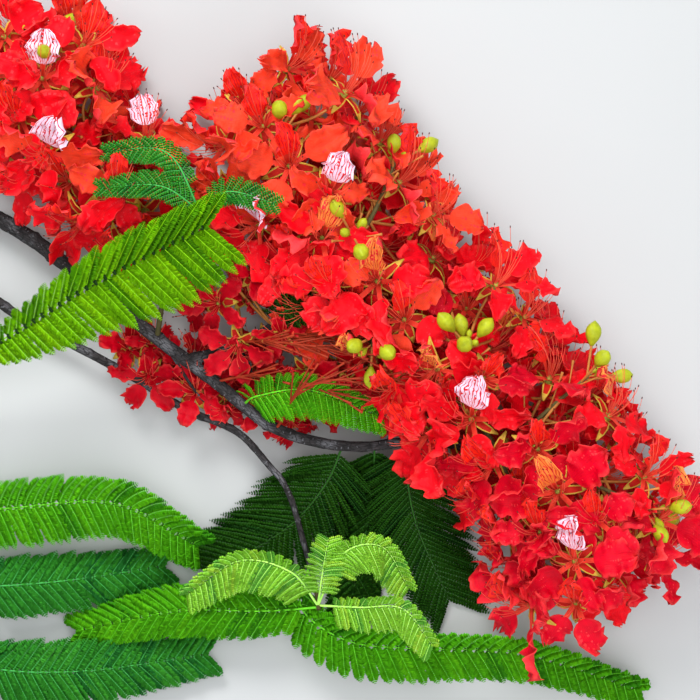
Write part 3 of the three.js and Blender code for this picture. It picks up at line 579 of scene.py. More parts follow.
class Lines:
    """Lines of points with values along them, which a node tree grows into tubes or sprays."""

    def __init__(self, *labels):
        self.points, self.edges, self.values = [], [], {label: [] for label in labels}

    def add(self, points, **values):
        start = sum(len(p) for p in self.points)
        self.points.append(np.asarray(points, float))
        self.edges += [(start + i, start + i + 1) for i in range(len(points) - 1)]
        for label, value in values.items():
            value = np.asarray(value, float)
            whole = np.shape(value)[:1] == (len(points),)
            self.values[label].append(value if whole else np.repeat(value[None], len(points), 0))

    def mesh(self, name):
        mesh = bpy.data.meshes.new(name)
        mesh.from_pydata(to_frame(np.concatenate(self.points)).tolist(), self.edges, [])
        for label, values in self.values.items():
            store_values(mesh, label, np.concatenate(values))
        return mesh


# Node trees that grow what repeats

GEOMETRY_IN = ("Geometry", "NodeSocketGeometry", None)
GEOMETRY_OUT = [("Geometry", "NodeSocketGeometry")]


def named(tree, label, data_type="FLOAT"):
    return add_node(tree, "GeometryNodeInputNamedAttribute", {"Name": label}, data_type=data_type).outputs[0]


def end_tree(tree, end, made, material):
    """Makes what a tree has grown plain geometry with its material, and hands it out."""
    real = add_node(tree, "GeometryNodeRealizeInstances", {"Geometry": made})
    done = add_node(tree, "GeometryNodeSetMaterial", {"Geometry": real.outputs[0], "Material": material})
    tree.links.new(done.outputs[0], end.inputs[0])


@functools.cache
def tube_tree():
    """Makes each line of the source a tapering tube."""
    tree, start, end = new_tree("Tubes", "GeometryNodeTree", [
        GEOMETRY_IN, ("Sides", "NodeSocketInt", 6), ("Material", "NodeSocketMaterial", None)], GEOMETRY_OUT)
    curve = add_node(tree, "GeometryNodeMeshToCurve", {"Mesh": start.outputs["Geometry"]})
    ring = add_node(tree, "GeometryNodeCurvePrimitiveCircle", {
        "Resolution": start.outputs["Sides"], "Radius": 1.0})
    tube = add_node(tree, "GeometryNodeCurveToMesh", {
        "Curve": curve.outputs[0], "Profile Curve": ring.outputs[0],
        "Scale": named(tree, "half_width"), "Fill Caps": True})
    smooth = add_node(tree, "GeometryNodeSetShadeSmooth", {
        "Geometry": tube.outputs[0], "Shade Smooth": True})
    end_tree(tree, end, smooth.outputs[0], start.outputs["Material"])
    return tree


@functools.cache
def head_tree():
    """Stands a head, such as a bud or an anther, on each point of the source, along its axis."""
    tree, start, end = new_tree("Heads", "GeometryNodeTree", [
        GEOMETRY_IN, ("Head", "NodeSocketObject", None), ("Material", "NodeSocketMaterial", None)],
        GEOMETRY_OUT)
    head = add_node(tree, "GeometryNodeObjectInfo", {"Object": start.outputs["Head"]})
    turn = add_node(tree, "FunctionNodeAlignRotationToVector", {
        "Vector": named(tree, "axis", "FLOAT_VECTOR")})
    stood = add_node(tree, "GeometryNodeInstanceOnPoints", {
        "Points": start.outputs["Geometry"], "Instance": head.outputs["Geometry"],
        "Rotation": turn.outputs[0], "Scale": named(tree, "size")})
    end_tree(tree, end, stood.outputs[0], start.outputs["Material"])
    return tree


@functools.cache
def leaflet_tree():
    """Sets leaflets along both sides of each line of the source, and gives them their tone's material."""
    tree, start, end = new_tree("Leaflets", "GeometryNodeTree", [
        GEOMETRY_IN, ("Leaflet", "NodeSocketObject", None), ("Spacing", "NodeSocketFloat", 0.0023),
        ("Slant", "NodeSocketFloat", 1.15), ("Seed", "NodeSocketInt", 7),
        ("Light", "NodeSocketMaterial", None), ("Main", "NodeSocketMaterial", None),
        ("Shaded", "NodeSocketMaterial", None)], GEOMETRY_OUT)
    leaflet = add_node(tree, "GeometryNodeObjectInfo", {"Object": start.outputs["Leaflet"]})
    curve = add_node(tree, "GeometryNodeMeshToCurve", {"Mesh": start.outputs["Geometry"]})
    line = add_node(tree, "GeometryNodeResampleCurve", {
        "Curve": curve.outputs[0], "Length": start.outputs["Spacing"]}, mode="LENGTH")
    ahead = add_node(tree, "GeometryNodeInputTangent").outputs[0]
    up = named(tree, "up", "FLOAT_VECTOR")
    side = add_node(tree, "ShaderNodeVectorMath", {0: ahead, 1: up}, operation="CROSS_PRODUCT").outputs[0]
    forward = maths(tree, "COSINE", start.outputs["Slant"])
    aside = maths(tree, "SINE", start.outputs["Slant"])
    both = tree.nodes.new("GeometryNodeJoinGeometry")
    for number, way in enumerate((1, -1)):
        seed = maths(tree, "ADD", start.outputs["Seed"], number)
        outward = maths(tree, "MULTIPLY", aside, way)
        jitter = add_node(tree, "FunctionNodeRandomValue", {
            0: (-0.08, -0.08, -0.12), 1: (0.08, 0.08, 0.12), 8: seed}, data_type="FLOAT_VECTOR").outputs[0]
        size = add_node(tree, "FunctionNodeRandomValue", {2: 0.88, 3: 1.08, 8: seed}).outputs[1]
        scale = maths(tree, "MULTIPLY", named(tree, "reach"), size)
        heading = jitter
        for direction, length in ((ahead, forward), (side, outward), (up, 0.14)):
            more = add_node(tree, "ShaderNodeVectorMath", {0: direction, "Scale": length}, operation="SCALE")
            heading = add_node(tree, "ShaderNodeVectorMath", {
                0: heading, 1: more.outputs[0]}, operation="ADD").outputs[0]
        turn = add_node(tree, "FunctionNodeAxesToRotation", {0: heading, 1: up},
                        primary_axis="Y", secondary_axis="Z").outputs[0]
        spray = add_node(tree, "GeometryNodeInstanceOnPoints", {
            "Points": line.outputs[0], "Instance": leaflet.outputs["Geometry"], "Rotation": turn,
            "Scale": scale})
        tree.links.new(spray.outputs[0], both.inputs[0])
    made = add_node(tree, "GeometryNodeRealizeInstances", {"Geometry": both.outputs[0]}).outputs[0]
    made = add_node(tree, "GeometryNodeSetMaterial", {
        "Geometry": made, "Material": start.outputs["Light"]}).outputs[0]
    for limit, label in ((0.5, "Main"), (1.5, "Shaded")):
        darker = add_node(tree, "FunctionNodeCompare", {
            0: named(tree, "tone"), 1: limit}, operation="GREATER_THAN")
        made = add_node(tree, "GeometryNodeSetMaterial", {
            "Geometry": made, "Selection": darker.outputs[0], "Material": start.outputs[label]}).outputs[0]
    tree.links.new(made, end.inputs[0])
    return tree


@functools.cache
def wart_tree():
    """Scatters small corky warts over the source's bark."""
    tree, start, end = new_tree("Warts", "GeometryNodeTree", [
        GEOMETRY_IN, ("Wart", "NodeSocketObject", None), ("Density", "NodeSocketFloat", 9000.0),
        ("Size", "NodeSocketFloat", 0.0011), ("Seed", "NodeSocketInt", 3),
        ("Material", "NodeSocketMaterial", None)], GEOMETRY_OUT)
    wart = add_node(tree, "GeometryNodeObjectInfo", {"Object": start.outputs["Wart"]})
    spots = add_node(tree, "GeometryNodeDistributePointsOnFaces", {
        "Mesh": start.outputs["Geometry"], "Density": start.outputs["Density"],
        "Seed": start.outputs["Seed"]})
    size = add_node(tree, "FunctionNodeRandomValue", {2: 0.5, 3: 1.2, 8: start.outputs["Seed"]}).outputs[1]
    scale = maths(tree, "MULTIPLY", start.outputs["Size"], size)
    stood = add_node(tree, "GeometryNodeInstanceOnPoints", {
        "Points": spots.outputs["Points"], "Instance": wart.outputs["Geometry"],
        "Rotation": spots.outputs["Rotation"], "Scale": scale})
    end_tree(tree, end, stood.outputs[0], start.outputs["Material"])
    return tree


def head_object(name, points, faces):
    """A small shape, in its own units, that a node tree stands or scatters."""
    mesh = bpy.data.meshes.new(name)
    mesh.from_pydata([tuple(p) for p in points], [], faces)
    mesh.polygons.foreach_set("use_smooth", np.ones(len(mesh.polygons), bool))
    mesh.update()
    head = bpy.data.objects.new(name, mesh)
    bpy.context.scene.collection.objects.link(head)
    return head


def drop(head):
    mesh = head.data
    bpy.data.objects.remove(head)
    bpy.data.meshes.remove(mesh)


def add_tubes(name, lines, sides, material, slot, *nodes):
    """A piece with a tapering tube along each of some lines."""
    made = grow(name, lines.mesh(name + "_lines"), tube_tree(), {"Sides": sides, "Material": material})
    add_piece(name, made, slot, *nodes)


def add_heads(name, lines, shape, material, slot):
    """A piece with a small shape on each of some points, along its axis."""
    head = head_object(name + "_head", *shape)
    made = grow(name, lines.mesh(name + "_points"), head_tree(), {"Head": head, "Material": material})
    drop(head)
    add_piece(name, made, slot)


def turned_shape(profile, sides, lobes=0, depth=0.0):
    """Points and faces of a closed shape turned about Z. profile is (height, radius), and lobes
    grooves of a share depth of the radius run down it."""
    heights, radii = np.array(profile, float).T
    turns = np.arange(sides) * 2 * math.pi / sides
    groove = 1 - depth * np.abs(np.cos(lobes * turns / 2)) ** 6
    points = [(0, 0, heights[0])]
    for height, radius in zip(heights[1:-1], radii[1:-1]):
        points += [(radius * g * math.cos(a), radius * g * math.sin(a), height)
                   for a, g in zip(turns, groove)]
    points.append((0, 0, heights[-1]))
    faces = [(0, 1 + (k + 1) % sides, 1 + k) for k in range(sides)]
    for ring in range(len(profile) - 3):
        low = 1 + ring * sides
        faces += [(low + k, low + (k + 1) % sides, low + sides + (k + 1) % sides, low + sides + k)
                  for k in range(sides)]
    last = len(points) - 1
    faces += [(last, last - sides + k, last - sides + (k + 1) % sides) for k in range(sides)]
    return points, faces


# Shader groups that more than one material uses

@functools.cache
def mottle_group():
    """Two colours mixed by soft patches, and the patches as a mask."""
    tree, start, end = new_tree("Mottle", "ShaderNodeTree", [
        ("Vector", "NodeSocketVector", None), ("Scale", "NodeSocketFloat", 100.0),
        ("Light", "NodeSocketColor", (1, 1, 1, 1)), ("Dark", "NodeSocketColor", (0.5, 0.5, 0.5, 1)),
        ("Contrast", "NodeSocketFloat", 2.0)],
        [("Color", "NodeSocketColor"), ("Mask", "NodeSocketFloat")])
    soft = noise(tree, start.outputs["Vector"], start.outputs["Scale"], 3.0, Roughness=0.6)
    centred = maths(tree, "SUBTRACT", soft, 0.5)
    stretched = maths(tree, "MULTIPLY_ADD", centred, start.outputs["Contrast"], 0.5, clamp=True)
    mix = mixed(tree, stretched, start.outputs["Dark"], start.outputs["Light"])
    tree.links.new(mix, end.inputs["Color"])
    tree.links.new(stretched, end.inputs["Mask"])
    return tree


@functools.cache
def vein_group():
    """Fine veins that run up a blade, fanned by its width, from its own map: a mask and a height."""
    tree, start, end = new_tree("Veins", "ShaderNodeTree", [
        ("Map", "NodeSocketVector", None), ("Count", "NodeSocketFloat", 16.0),
        ("Wander", "NodeSocketFloat", 0.05)],
        [("Mask", "NodeSocketFloat"), ("Height", "NodeSocketFloat")])
    soft = noise(tree, start.outputs["Map"], 6.0, flat=True)
    place = add_node(tree, "ShaderNodeSeparateXYZ", {0: start.outputs["Map"]})
    shift = maths(tree, "MULTIPLY_ADD", soft, start.outputs["Wander"], place.outputs["Y"])
    turn = maths(tree, "MULTIPLY", start.outputs["Count"], 2 * math.pi)
    wave = maths(tree, "SINE", maths(tree, "MULTIPLY", shift, turn))
    bright = maths(tree, "MULTIPLY_ADD", wave, 0.5, 0.5)
    tree.links.new(maths(tree, "POWER", bright, 5.0), end.inputs["Mask"])
    tree.links.new(wave, end.inputs["Height"])
    return tree


@functools.cache
def rim_group():
    """How near a place on a blade is to the blade's rim, from its own map."""
    tree, start, end = new_tree("Rim", "ShaderNodeTree", [
        ("Map", "NodeSocketVector", None), ("Width", "NodeSocketFloat", 0.3)],
        [("Mask", "NodeSocketFloat")])
    place = add_node(tree, "ShaderNodeSeparateXYZ", {0: start.outputs["Map"]})
    aside = maths(tree, "ABSOLUTE", maths(tree, "MULTIPLY_ADD", place.outputs["Y"], 2.0, -1.0))
    inner = maths(tree, "SUBTRACT", 1.0, start.outputs["Width"])
    side = mapped(tree, aside, inner)
    tip = mapped(tree, place.outputs["X"], 0.9)
    tree.links.new(maths(tree, "MAXIMUM", side, tip), end.inputs["Mask"])
    return tree


def new_material(name, **constants):
    """A material with its shader, whose plain values are set on the shader's own sockets."""
    material = bpy.data.materials.new(name)
    material.use_nodes = True
    tree = material.node_tree
    tree.nodes.clear()
    shader = add_node(tree, "ShaderNodeBsdfPrincipled", constants)
    output = tree.nodes.new("ShaderNodeOutputMaterial")
    tree.links.new(shader.outputs[0], output.inputs[0])
    return material, tree, shader


def colour_of(name):
    return np.array(getattr(bpy.context.scene.branch_colours, name))


def shade_of(colour, factor):
    """A colour made lighter or darker by a number, or by one for each of red, green and blue."""
    return (*np.minimum(colour * np.array(factor), 1), 1)


def add_mottle(tree, shader, vector, scale, light, dark, contrast=2.0):
    """Feeds the shader's base colour from soft patches, and returns the group's node."""
    group = add_node(tree, "ShaderNodeGroup", node_tree=mottle_group())
    for key, value in (("Scale", scale), ("Light", light), ("Dark", dark), ("Contrast", contrast)):
        group.inputs[key].default_value = value
    tree.links.new(vector, group.inputs["Vector"])
    tree.links.new(group.outputs["Color"], shader.inputs["Base Color"])
    return group


def add_roughness(tree, shader, mask, low, high):
    tree.links.new(mapped(tree, mask, to_low=low, to_high=high), shader.inputs["Roughness"])


def add_bump(tree, shader, height, strength, distance):
    bump = add_node(tree, "ShaderNodeBump", {"Height": height, "Strength": strength, "Distance": distance})
    tree.links.new(bump.outputs[0], shader.inputs["Normal"])


def object_place(tree):
    return add_node(tree, "ShaderNodeTexCoord").outputs["Object"]


def blade_map(tree):
    return add_node(tree, "ShaderNodeUVMap", uv_map="Blade").outputs[0]


@functools.cache
def petal_material(colour_name):
    """Velvety petal: soft patches, darker veins up the blade, a painted highlight of paler red along the rim
    in some patches, and fine wrinkles.
    """
    colour = colour_of(colour_name)
    material, tree, shader = new_material(f"Petal_{colour_name}", **{
        "Subsurface Weight": 0.12, "Subsurface Scale": 0.004, "Specular IOR Level": 0.1})
    place = object_place(tree)
    group = add_mottle(tree, shader, place, 90.0, shade_of(colour, 1.12), shade_of(colour, 0.74))
    veins = add_node(tree, "ShaderNodeGroup", node_tree=vein_group())
    tree.links.new(blade_map(tree), veins.inputs["Map"])
    vein_mask = maths(tree, "MULTIPLY", veins.outputs["Mask"], 0.2)
    veined = mixed(tree, vein_mask, group.outputs["Color"], shade_of(colour, 0.5))
    # Painted highlight: in soft patches the blade's rim is mixed towards a paler red, for light catching the
    # edge
    rim = add_node(tree, "ShaderNodeGroup", node_tree=rim_group())
    tree.links.new(blade_map(tree), rim.inputs["Map"])
    patchy = maths(tree, "MULTIPLY", group.outputs["Mask"], 0.5)
    rim_highlight_mask = maths(tree, "MULTIPLY", rim.outputs["Mask"], patchy)
    rim_highlighted = mixed(tree, rim_highlight_mask, veined, shade_of(colour_of("petal_rim_highlight"), 1))
    tree.links.new(rim_highlighted, shader.inputs["Base Color"])
    add_roughness(tree, shader, group.outputs["Mask"], 0.42, 0.6)
    wrinkles = noise(tree, place, 210.0, 3.0, Distortion=0.8)
    height = maths(tree, "MULTIPLY_ADD", veins.outputs["Height"], 0.1, wrinkles)
    add_bump(tree, shader, height, 0.45, 0.001)
    return material


@functools.cache
def standard_material(colour_name, streak_name):
    """The standard's blade: pale, with red streaks and specks along its veins."""
    material, tree, shader = new_material(f"Petal_{colour_name}", **{
        "Subsurface Weight": 0.12, "Subsurface Scale": 0.004, "Specular IOR Level": 0.2})
    place = blade_map(tree)
    veins = add_node(tree, "ShaderNodeGroup", {"Count": 9.0, "Wander": 0.12}, node_tree=vein_group())
    tree.links.new(place, veins.inputs["Map"])
    specks = noise(tree, place, 15.0, flat=True)
    joined = maths(tree, "MULTIPLY", veins.outputs["Mask"], specks)
    pale, streak = shade_of(colour_of(colour_name), 1), shade_of(colour_of(streak_name), 0.9)
    streaked = mixed(tree, mapped(tree, joined, 0.16, 0.3), pale, streak)
    tree.links.new(streaked, shader.inputs["Base Color"])
    add_roughness(tree, shader, specks, 0.4, 0.6)
    add_bump(tree, shader, veins.outputs["Height"], 0.3, 0.0003)
    return material


@functools.cache
def soft_material(name, colour_name, factor=1.0, scale=120.0, low=0.45, high=0.65, shine=0.18):
    """Green or red living skin: soft patches, uneven gloss and a fine grain."""
    colour = colour_of(colour_name) * np.array(factor)
    material, tree, shader = new_material(name, **{"Specular IOR Level": shine})
    place = object_place(tree)
    group = add_mottle(tree, shader, place, scale, shade_of(colour, 1.2), shade_of(colour, 0.72))
    add_roughness(tree, shader, group.outputs["Mask"], low, high)
    add_bump(tree, shader, noise(tree, place, scale * 8), 0.2, 0.0003)
    return material


@functools.cache
def bark_material():
    """Dark bark with long cracks, paler ridges and patches of grey bloom on its upper side. The cracks are
    darker, partly the bark's own colour and partly painted shade, and the grey is also a painted highlight
    where light falls on top.
    """
    colour = colour_of("bark")
    material, tree, shader = new_material("Bark", **{"Specular IOR Level": 0.2})
    grain = add_node(tree, "ShaderNodeAttribute", attribute_name="grain").outputs["Vector"]
    group = add_mottle(tree, shader, grain, 260.0, shade_of(colour, 1.8), shade_of(colour, 0.5), 2.6)
    cracks = add_node(tree, "ShaderNodeTexVoronoi", {"Vector": grain, "Scale": 420.0},
                      feature="DISTANCE_TO_EDGE")
    crack_mask = mapped(tree, cracks.outputs["Distance"], high=0.12)
    patch_mask = mapped(tree, noise(tree, object_place(tree), 45.0, 4.0), 0.48, 0.66, to_high=0.8)
    normal = add_node(tree, "ShaderNodeNewGeometry").outputs["Normal"]
    facing = add_node(tree, "ShaderNodeSeparateXYZ", {0: normal})
    # Painted highlight: the grey patches show only where the bark faces up, for light falling on its top
    upper = maths(tree, "MULTIPLY", patch_mask, mapped(tree, facing.outputs["Z"], 0.3, 0.95))
    grey = mixed(tree, upper, group.outputs["Color"], shade_of(colour_of("bark_bloom_and_highlight"), 1))
    # The cracks are darkened: partly the bark's own darker fissures, partly painted shade in them
    cracked = mixed(tree, crack_mask, shade_of(colour, 0.3), grey)
    tree.links.new(cracked, shader.inputs["Base Color"])
    add_roughness(tree, shader, group.outputs["Mask"], 0.7, 0.95)
    add_bump(tree, shader, crack_mask, 0.5, 0.0006)
    return material


@functools.cache
def cut_wood_material():
    """The cut end: pale wood with growth rings about its pith."""
    colour = colour_of("cut_wood")
    material, tree, shader = new_material("Cut_wood", **{"Roughness": 0.7})
    grain = add_node(tree, "ShaderNodeAttribute", attribute_name="grain").outputs["Vector"]
    flat = add_node(tree, "ShaderNodeVectorMath", {0: grain, 1: (1, 1, 0)}, operation="MULTIPLY")
    radius = add_node(tree, "ShaderNodeVectorMath", {0: flat.outputs[0]}, operation="LENGTH")
    wave = maths(tree, "SINE", maths(tree, "MULTIPLY", radius.outputs["Value"], 4200.0))
    mask = mapped(tree, wave, -1.0)
    tree.links.new(mixed(tree, mask, shade_of(colour, 0.6), shade_of(colour, 1.1)),
                   shader.inputs["Base Color"])
    add_bump(tree, shader, mask, 0.3, 0.0003)
    return material


# Blooms: where they stand and how they face

class Bloom:
    """One bloom: its middle, its directions, its size and where its stalk starts."""

    def __init__(self, mass, middle, seed, spare):
        self.mass, self.middle, self.seed, self.spare = mass, middle, seed, spare
        self.size = 1 + spread(seed, 8, 0.06)
        if spare:
            self.size = (0.84 if mass < SHADED else 0.6) + spread(seed, 8, 0.1)

    def heights(self):
        """How low and how high it may stand."""
        mass = MASSES[self.mass]
        drop_down = SPARE_DROP if self.spare and self.mass < SHADED else 0
        return mass["low"] - drop_down, mass["high"]

    def deep(self):
        """True if it stands in the shade of the limbs or of other blooms."""
        return self.mass >= SHADED or (self.spare and self.middle[2] < DEEP)

    def out(self, turn, opening):
        """The direction that leaves the middle at a turn round its face and an opening from it."""
        return (self.standard * math.cos(turn) * math.sin(opening)
                + self.side * math.sin(turn) * math.sin(opening) + self.facing * math.cos(opening))


@functools.cache
def samples_of(number):
    """Points along a mass's middle line, seen from above."""
    return on_route(MASSES[number]["line"], np.arange(61) / 60)[:, :2]


def away_from_line(number, middle):
    """The nearest spot of a mass's middle line, the way from there to a place, and its share."""
    spots = samples_of(number)
    aways = middle[:2] - spots
    i = int(np.argmin((aways ** 2).sum(1)))
    return spots[i], aways[i], i / 60


def blooms_of(number, count, seed, spare=False):
    """Where the blooms of a mass stand before they push each other apart."""
    mass = MASSES[number]
    aside_start, height_start, half_share = (0.55, 0.05, 0.96) if spare else (0.2, 0.4, 1)
    found = []
    for i in range(count):
        t = (i + 0.5) / count
        aside = (part(i * 0.618 + aside_start) * 2 - 1) * mass["half"] * half_share
        middle = on_route(mass["line"], t) + np.cross(heading_of(mass["line"], t), UP) * aside
        bloom = Bloom(number, middle, seed + i, spare)
        low, high = bloom.heights()
        middle[2] = low + (high - low) * part(i * 0.382 + height_start)
        found.append(bloom)
    return found


def relax(moving, space, fixed=()):
    """Blooms that stand too close push each other apart, and each stays in its mass."""
    for _ in range(40):
        for i, bloom in enumerate(moving):
            for other in moving[i + 1:]:
                apart = other.middle - bloom.middle
                short = space - math.dist(other.middle, bloom.middle)
                if short > 0:
                    push = apart / np.linalg.norm(apart) * short * 0.35
                    bloom.middle = bloom.middle - push
                    other.middle = other.middle + push
            for other in fixed:
                short = space - math.dist(other.middle, bloom.middle)
                if short > 0:
                    bloom.middle = bloom.middle + unit(bloom.middle - other.middle) * short * 0.7
        for bloom in moving:
            half = MASSES[bloom.mass]["half"]
            low, high = bloom.heights()
            spot, away, _ = away_from_line(bloom.mass, bloom.middle)
            over = half / max(np.linalg.norm(away), half)
            bloom.middle = np.append(spot + away * over, min(max(bloom.middle[2], low), high))


def turn_bloom(bloom):
    """A bloom faces outwards from its mass and up, and its standard petal points to +Y."""
    seed, (low, high) = bloom.seed, bloom.heights()
    _, away, bloom.along = away_from_line(bloom.mass, bloom.middle)
    height = (bloom.middle[2] - low) / (high - low)
    lean = away * 1.1 / MASSES[bloom.mass]["half"] + (spread(seed, 1, 0.35), spread(seed, 2, 0.35))
    bloom.facing = unit(np.append(lean, (0.6 if bloom.spare else 0.15) + 0.9 * height))
    standard = point(spread(seed, 4, 0.5), 1, 0.3)
    bloom.standard = unit(standard - bloom.facing * standard.dot(bloom.facing))
    bloom.side = np.cross(bloom.facing, bloom.standard)


@functools.cache
def stalk_feet():
    """Where a stalk may start: points along the axes of all the racemes."""
    t = 0.96 * np.arange(2, 17) / 16
    return np.concatenate([on_route([group["foot"], axis["bend"], axis["tip"]], t)
                           for group in RACEMES.values() for axis in group["axes"]])


def choose_foot(bloom, feet, stalk):
    """Each bloom hangs where its stalk's length fits best."""
    off = np.abs(np.linalg.norm(feet - bloom.middle, axis=1) - stalk)
    bloom.foot = feet[int(np.argmin(off))]


@functools.cache
def all_blooms():
    """The large blooms, then the smaller ones between them and in the shade of the limbs."""
    large = [bloom for number, mass in enumerate(MASSES)
             for bloom in blooms_of(number, mass["count"], number * 40)]
    relax(large, BLOOM_SPACE)
    spare = [bloom for number, mass in enumerate(MASSES)
             for bloom in blooms_of(number, mass["spare"], 200 + number * 80, spare=True)]
    relax([bloom for bloom in spare if bloom.mass != SHADED], SPARE_SPACE, large)
    twig_feet = np.concatenate([on_route(twig["route"], np.linspace(0.4, 1, 6)) for twig in TWIGS])
    spent_feet = np.concatenate([on_route(list(axis.values()), np.linspace(0.1, 0.9, 9))
                                 for axis in SPENT_RACEMES])
    for bloom in large + spare:
        turn_bloom(bloom)
        if bloom.mass < SHADED:
            choose_foot(bloom, stalk_feet(), STALK)
        else:
            choose_foot(bloom, twig_feet if bloom.mass == SHADED else spent_feet, STALK / 2)
    return large + spare


@functools.cache
def white_seeds():
    """The seeds of the blooms whose standards are white: the nearest to each white spot of those
    that few others stand over."""
    blooms = [bloom for bloom in all_blooms() if not bloom.deep()]
    middles = np.array([bloom.middle for bloom in blooms])
    tops = np.array([bloom.middle + bloom.out(0, 1.1) * STANDARD_TOP * bloom.size for bloom in blooms])
    over = np.linalg.norm(tops[:, None, :2] - middles[None, :, :2], axis=2) < COVER_SPACE
    over &= middles[None, :, 2] > tops[:, None, 2] - COVER_DROP
    np.fill_diagonal(over, False)
    hidden = over.sum(1) * COVER_COST
    return {blooms[int(np.argmin(np.linalg.norm(tops[:, :2] - spot, axis=1) + hidden))].seed
            for spot in WHITE_SPOTS}


# Petals and sepals

# Shares of a petal's length and width at which its rows and columns of points stand: fine for the
# large blooms, plain for the smaller ones
FINE_GRID = (np.concatenate([[0, 0.16, 0.345], np.linspace(0.38, 1, 18)]),
             np.array([-1, -0.88, -0.68, -0.46, -0.23, 0, 0.23, 0.46, 0.68, 0.88, 1]))
PLAIN_GRID = (np.concatenate([[0, 0.345], np.linspace(0.38, 1, 11)]),
              np.array([-1, -0.84, -0.56, -0.28, 0, 0.28, 0.56, 0.84, 1]))
SEPAL_GRID = (np.linspace(0, 1, 5), np.array([-1, -0.74, 0, 0.74, 1]))
CLAW_HALF = 2.6  # half the width of a petal's narrow foot, in millimetres
CLAW_END = 0.36  # the share of a petal's length where its blade begins
SEPAL_THICKNESS = 1.1
ANTHER_LENGTH = 2.9

# How far behind a bloom's middle its sepals spring, its stalk ends and its cup starts, and how long
# the cup is, in millimetres
SEPAL_DROP, STALK_DROP, CUP_DROP, CUP_LENGTH = 4.5, 12, 13, 18

# How far petals and pinnae keep from the bark, and petals from a white standard, in millimetres.
# What is farther than LIMB_REACH from a limb's middle isn't tested against that limb.
PETAL_GAP, PINNA_GAP, WHITE_GAP, LIMB_REACH = 1.5, 2.5, 3, 12
# How much a petal closes, or opens where below 0, at each try to keep clear, in radians
CLOSINGS = (0, 0.24, -0.24, 0.48, -0.48, 0.72, 0.96, 1.2)

# What a face of a petal or a sepal is
FRONT, MARGIN, BACK, CLAW = range(4)

PETAL_COLOURS = ["vermilion", "scarlet", "crimson", "shaded_red", "petal_back", "petal_claw"]
STANDARD_COLOURS = ["standard_white", "standard_gold", "standard_red"]


@functools.cache
def sheet_faces(rows, columns):
    """Faces of a thin closed sheet whose front grid of points comes first and its back grid next,
    and what each face is."""
    front = np.arange(rows * columns).reshape(rows, columns)
    back = rows * columns
    faces, kinds = [], []
    for i in range(rows - 1):
        for j in range(columns - 1):
            a, b, c, d = front[i, j], front[i + 1, j], front[i + 1, j + 1], front[i, j + 1]
            faces += [(a, b, c, d), (back + d, back + c, back + b, back + a)]
            edge = j in (0, columns - 2) or i == rows - 2
            kinds += [MARGIN if edge else FRONT, BACK]
    rim = np.concatenate([front[:, 0], front[-1, 1:], front[-2::-1, -1], front[0, -2:0:-1]])
    for a, b in zip(rim, np.roll(rim, -1)):
        faces.append((b, a, back + a, back + b))
        kinds.append(MARGIN)
    return np.array(faces), np.array(kinds)


class Sheets:
    """Thin sheets, such as petals, joined in one mesh."""

    def __init__(self):
        self.points, self.faces, self.kinds, self.uv, self.count = [], [], [], [], 0

    def add(self, points, thickness, grid, tones, claw_end=0.0):
        """Adds a sheet with points on a grid of rows and columns. tones holds the material of each
        kind of face."""
        rows, columns = grid
        normals = np.cross(np.gradient(points, axis=0), np.gradient(points, axis=1))
        normals /= np.maximum(np.linalg.norm(normals, axis=-1, keepdims=True), 1e-9)
        both = np.concatenate([points.reshape(-1, 3), (points - normals * thickness).reshape(-1, 3)])
        faces, kinds = sheet_faces(len(rows), len(columns))
        share = np.tile(np.repeat(rows, len(columns)), 2)[faces].mean(1)
        self.points.append(pressed(both))
        self.faces.append(faces + self.count)
        self.kinds.append(np.array(tones)[np.where(share < claw_end, CLAW, kinds)])
        place = np.stack(np.meshgrid(rows, columns / 2 + 0.5, indexing="ij"), -1).reshape(-1, 2)
        self.uv.append(np.tile(place, (2, 1)))
        self.count += len(both)

    def mesh(self, name, materials):
        return make_mesh(name, np.concatenate(self.points), np.concatenate(self.faces).tolist(),
                         materials, np.concatenate(self.kinds), np.concatenate(self.uv))


def petal_outline(t, half):
    """Half a petal's width at shares t: a narrow claw that opens into a round blade."""
    s = np.clip((t - CLAW_END) / (1 - CLAW_END), 0, 1)
    blade = np.sqrt(np.maximum(np.sin(math.pi * s ** 0.85), 0.012))
    return CLAW_HALF + (half - CLAW_HALF) * np.where(s > 0, blade, 0)


@functools.cache
def limb_points():
    """Points down the middle of every limb, with its radius there."""
    rows = []
    for limb in LIMBS.values():
        t = np.linspace(0, 1, 120)
        rows.append(np.column_stack([on_route(limb["route"], t), limb_radius(limb, t)]))
    return np.concatenate(rows)


def clears(points, others, gap):
    """True if points keep a gap from others, each of which is a place and a radius."""
    low, high = points.min(0) - LIMB_REACH, points.max(0) + LIMB_REACH
    near = others[((others[:, :3] > low) & (others[:, :3] < high)).all(1)]
    if not len(near):
        return True
    distance = np.linalg.norm(points[:, None] - near[None, :, :3], axis=2) - near[:, 3]
    return bool(distance.min() > gap)


def petals_of(bloom, sizes):
    """The five petals: the first is the standard, which stands up, and four spread round the face."""
    seed = bloom.seed
    white = seed in white_seeds()
    for k in range(5):
        opens, ends = 0.95 + spread(seed, 20 + k, 0.28), 1.75 + spread(seed, 30 + k, 0.55)
        length, half = 1 + spread(seed, 40 + k, 0.08), 0.6 + 0.4 * chance(seed, 180 + k)
        roll, fold = -0.7 + 2.2 * chance(seed, 95 + k), 0.6 * chance(seed, 170 + k) ** 2
        if k == 0:
            opens, ends, length, half = 0.55, 1.1, 0.92, 0.72
        if k == 0 and white:
            opens, ends, half, roll, fold = 0.8, 1.35, 0.9, 0.3, 0.1
        yield dict(
            number=k, turn=k * 2 * math.pi / 5 + spread(seed, 10 + k, 0.14), opens=opens, ends=ends,
            length=sizes.petal_length / MM * bloom.size * length,
            half=sizes.petal_half_width / MM * bloom.size * half, roll=roll, fold=fold)


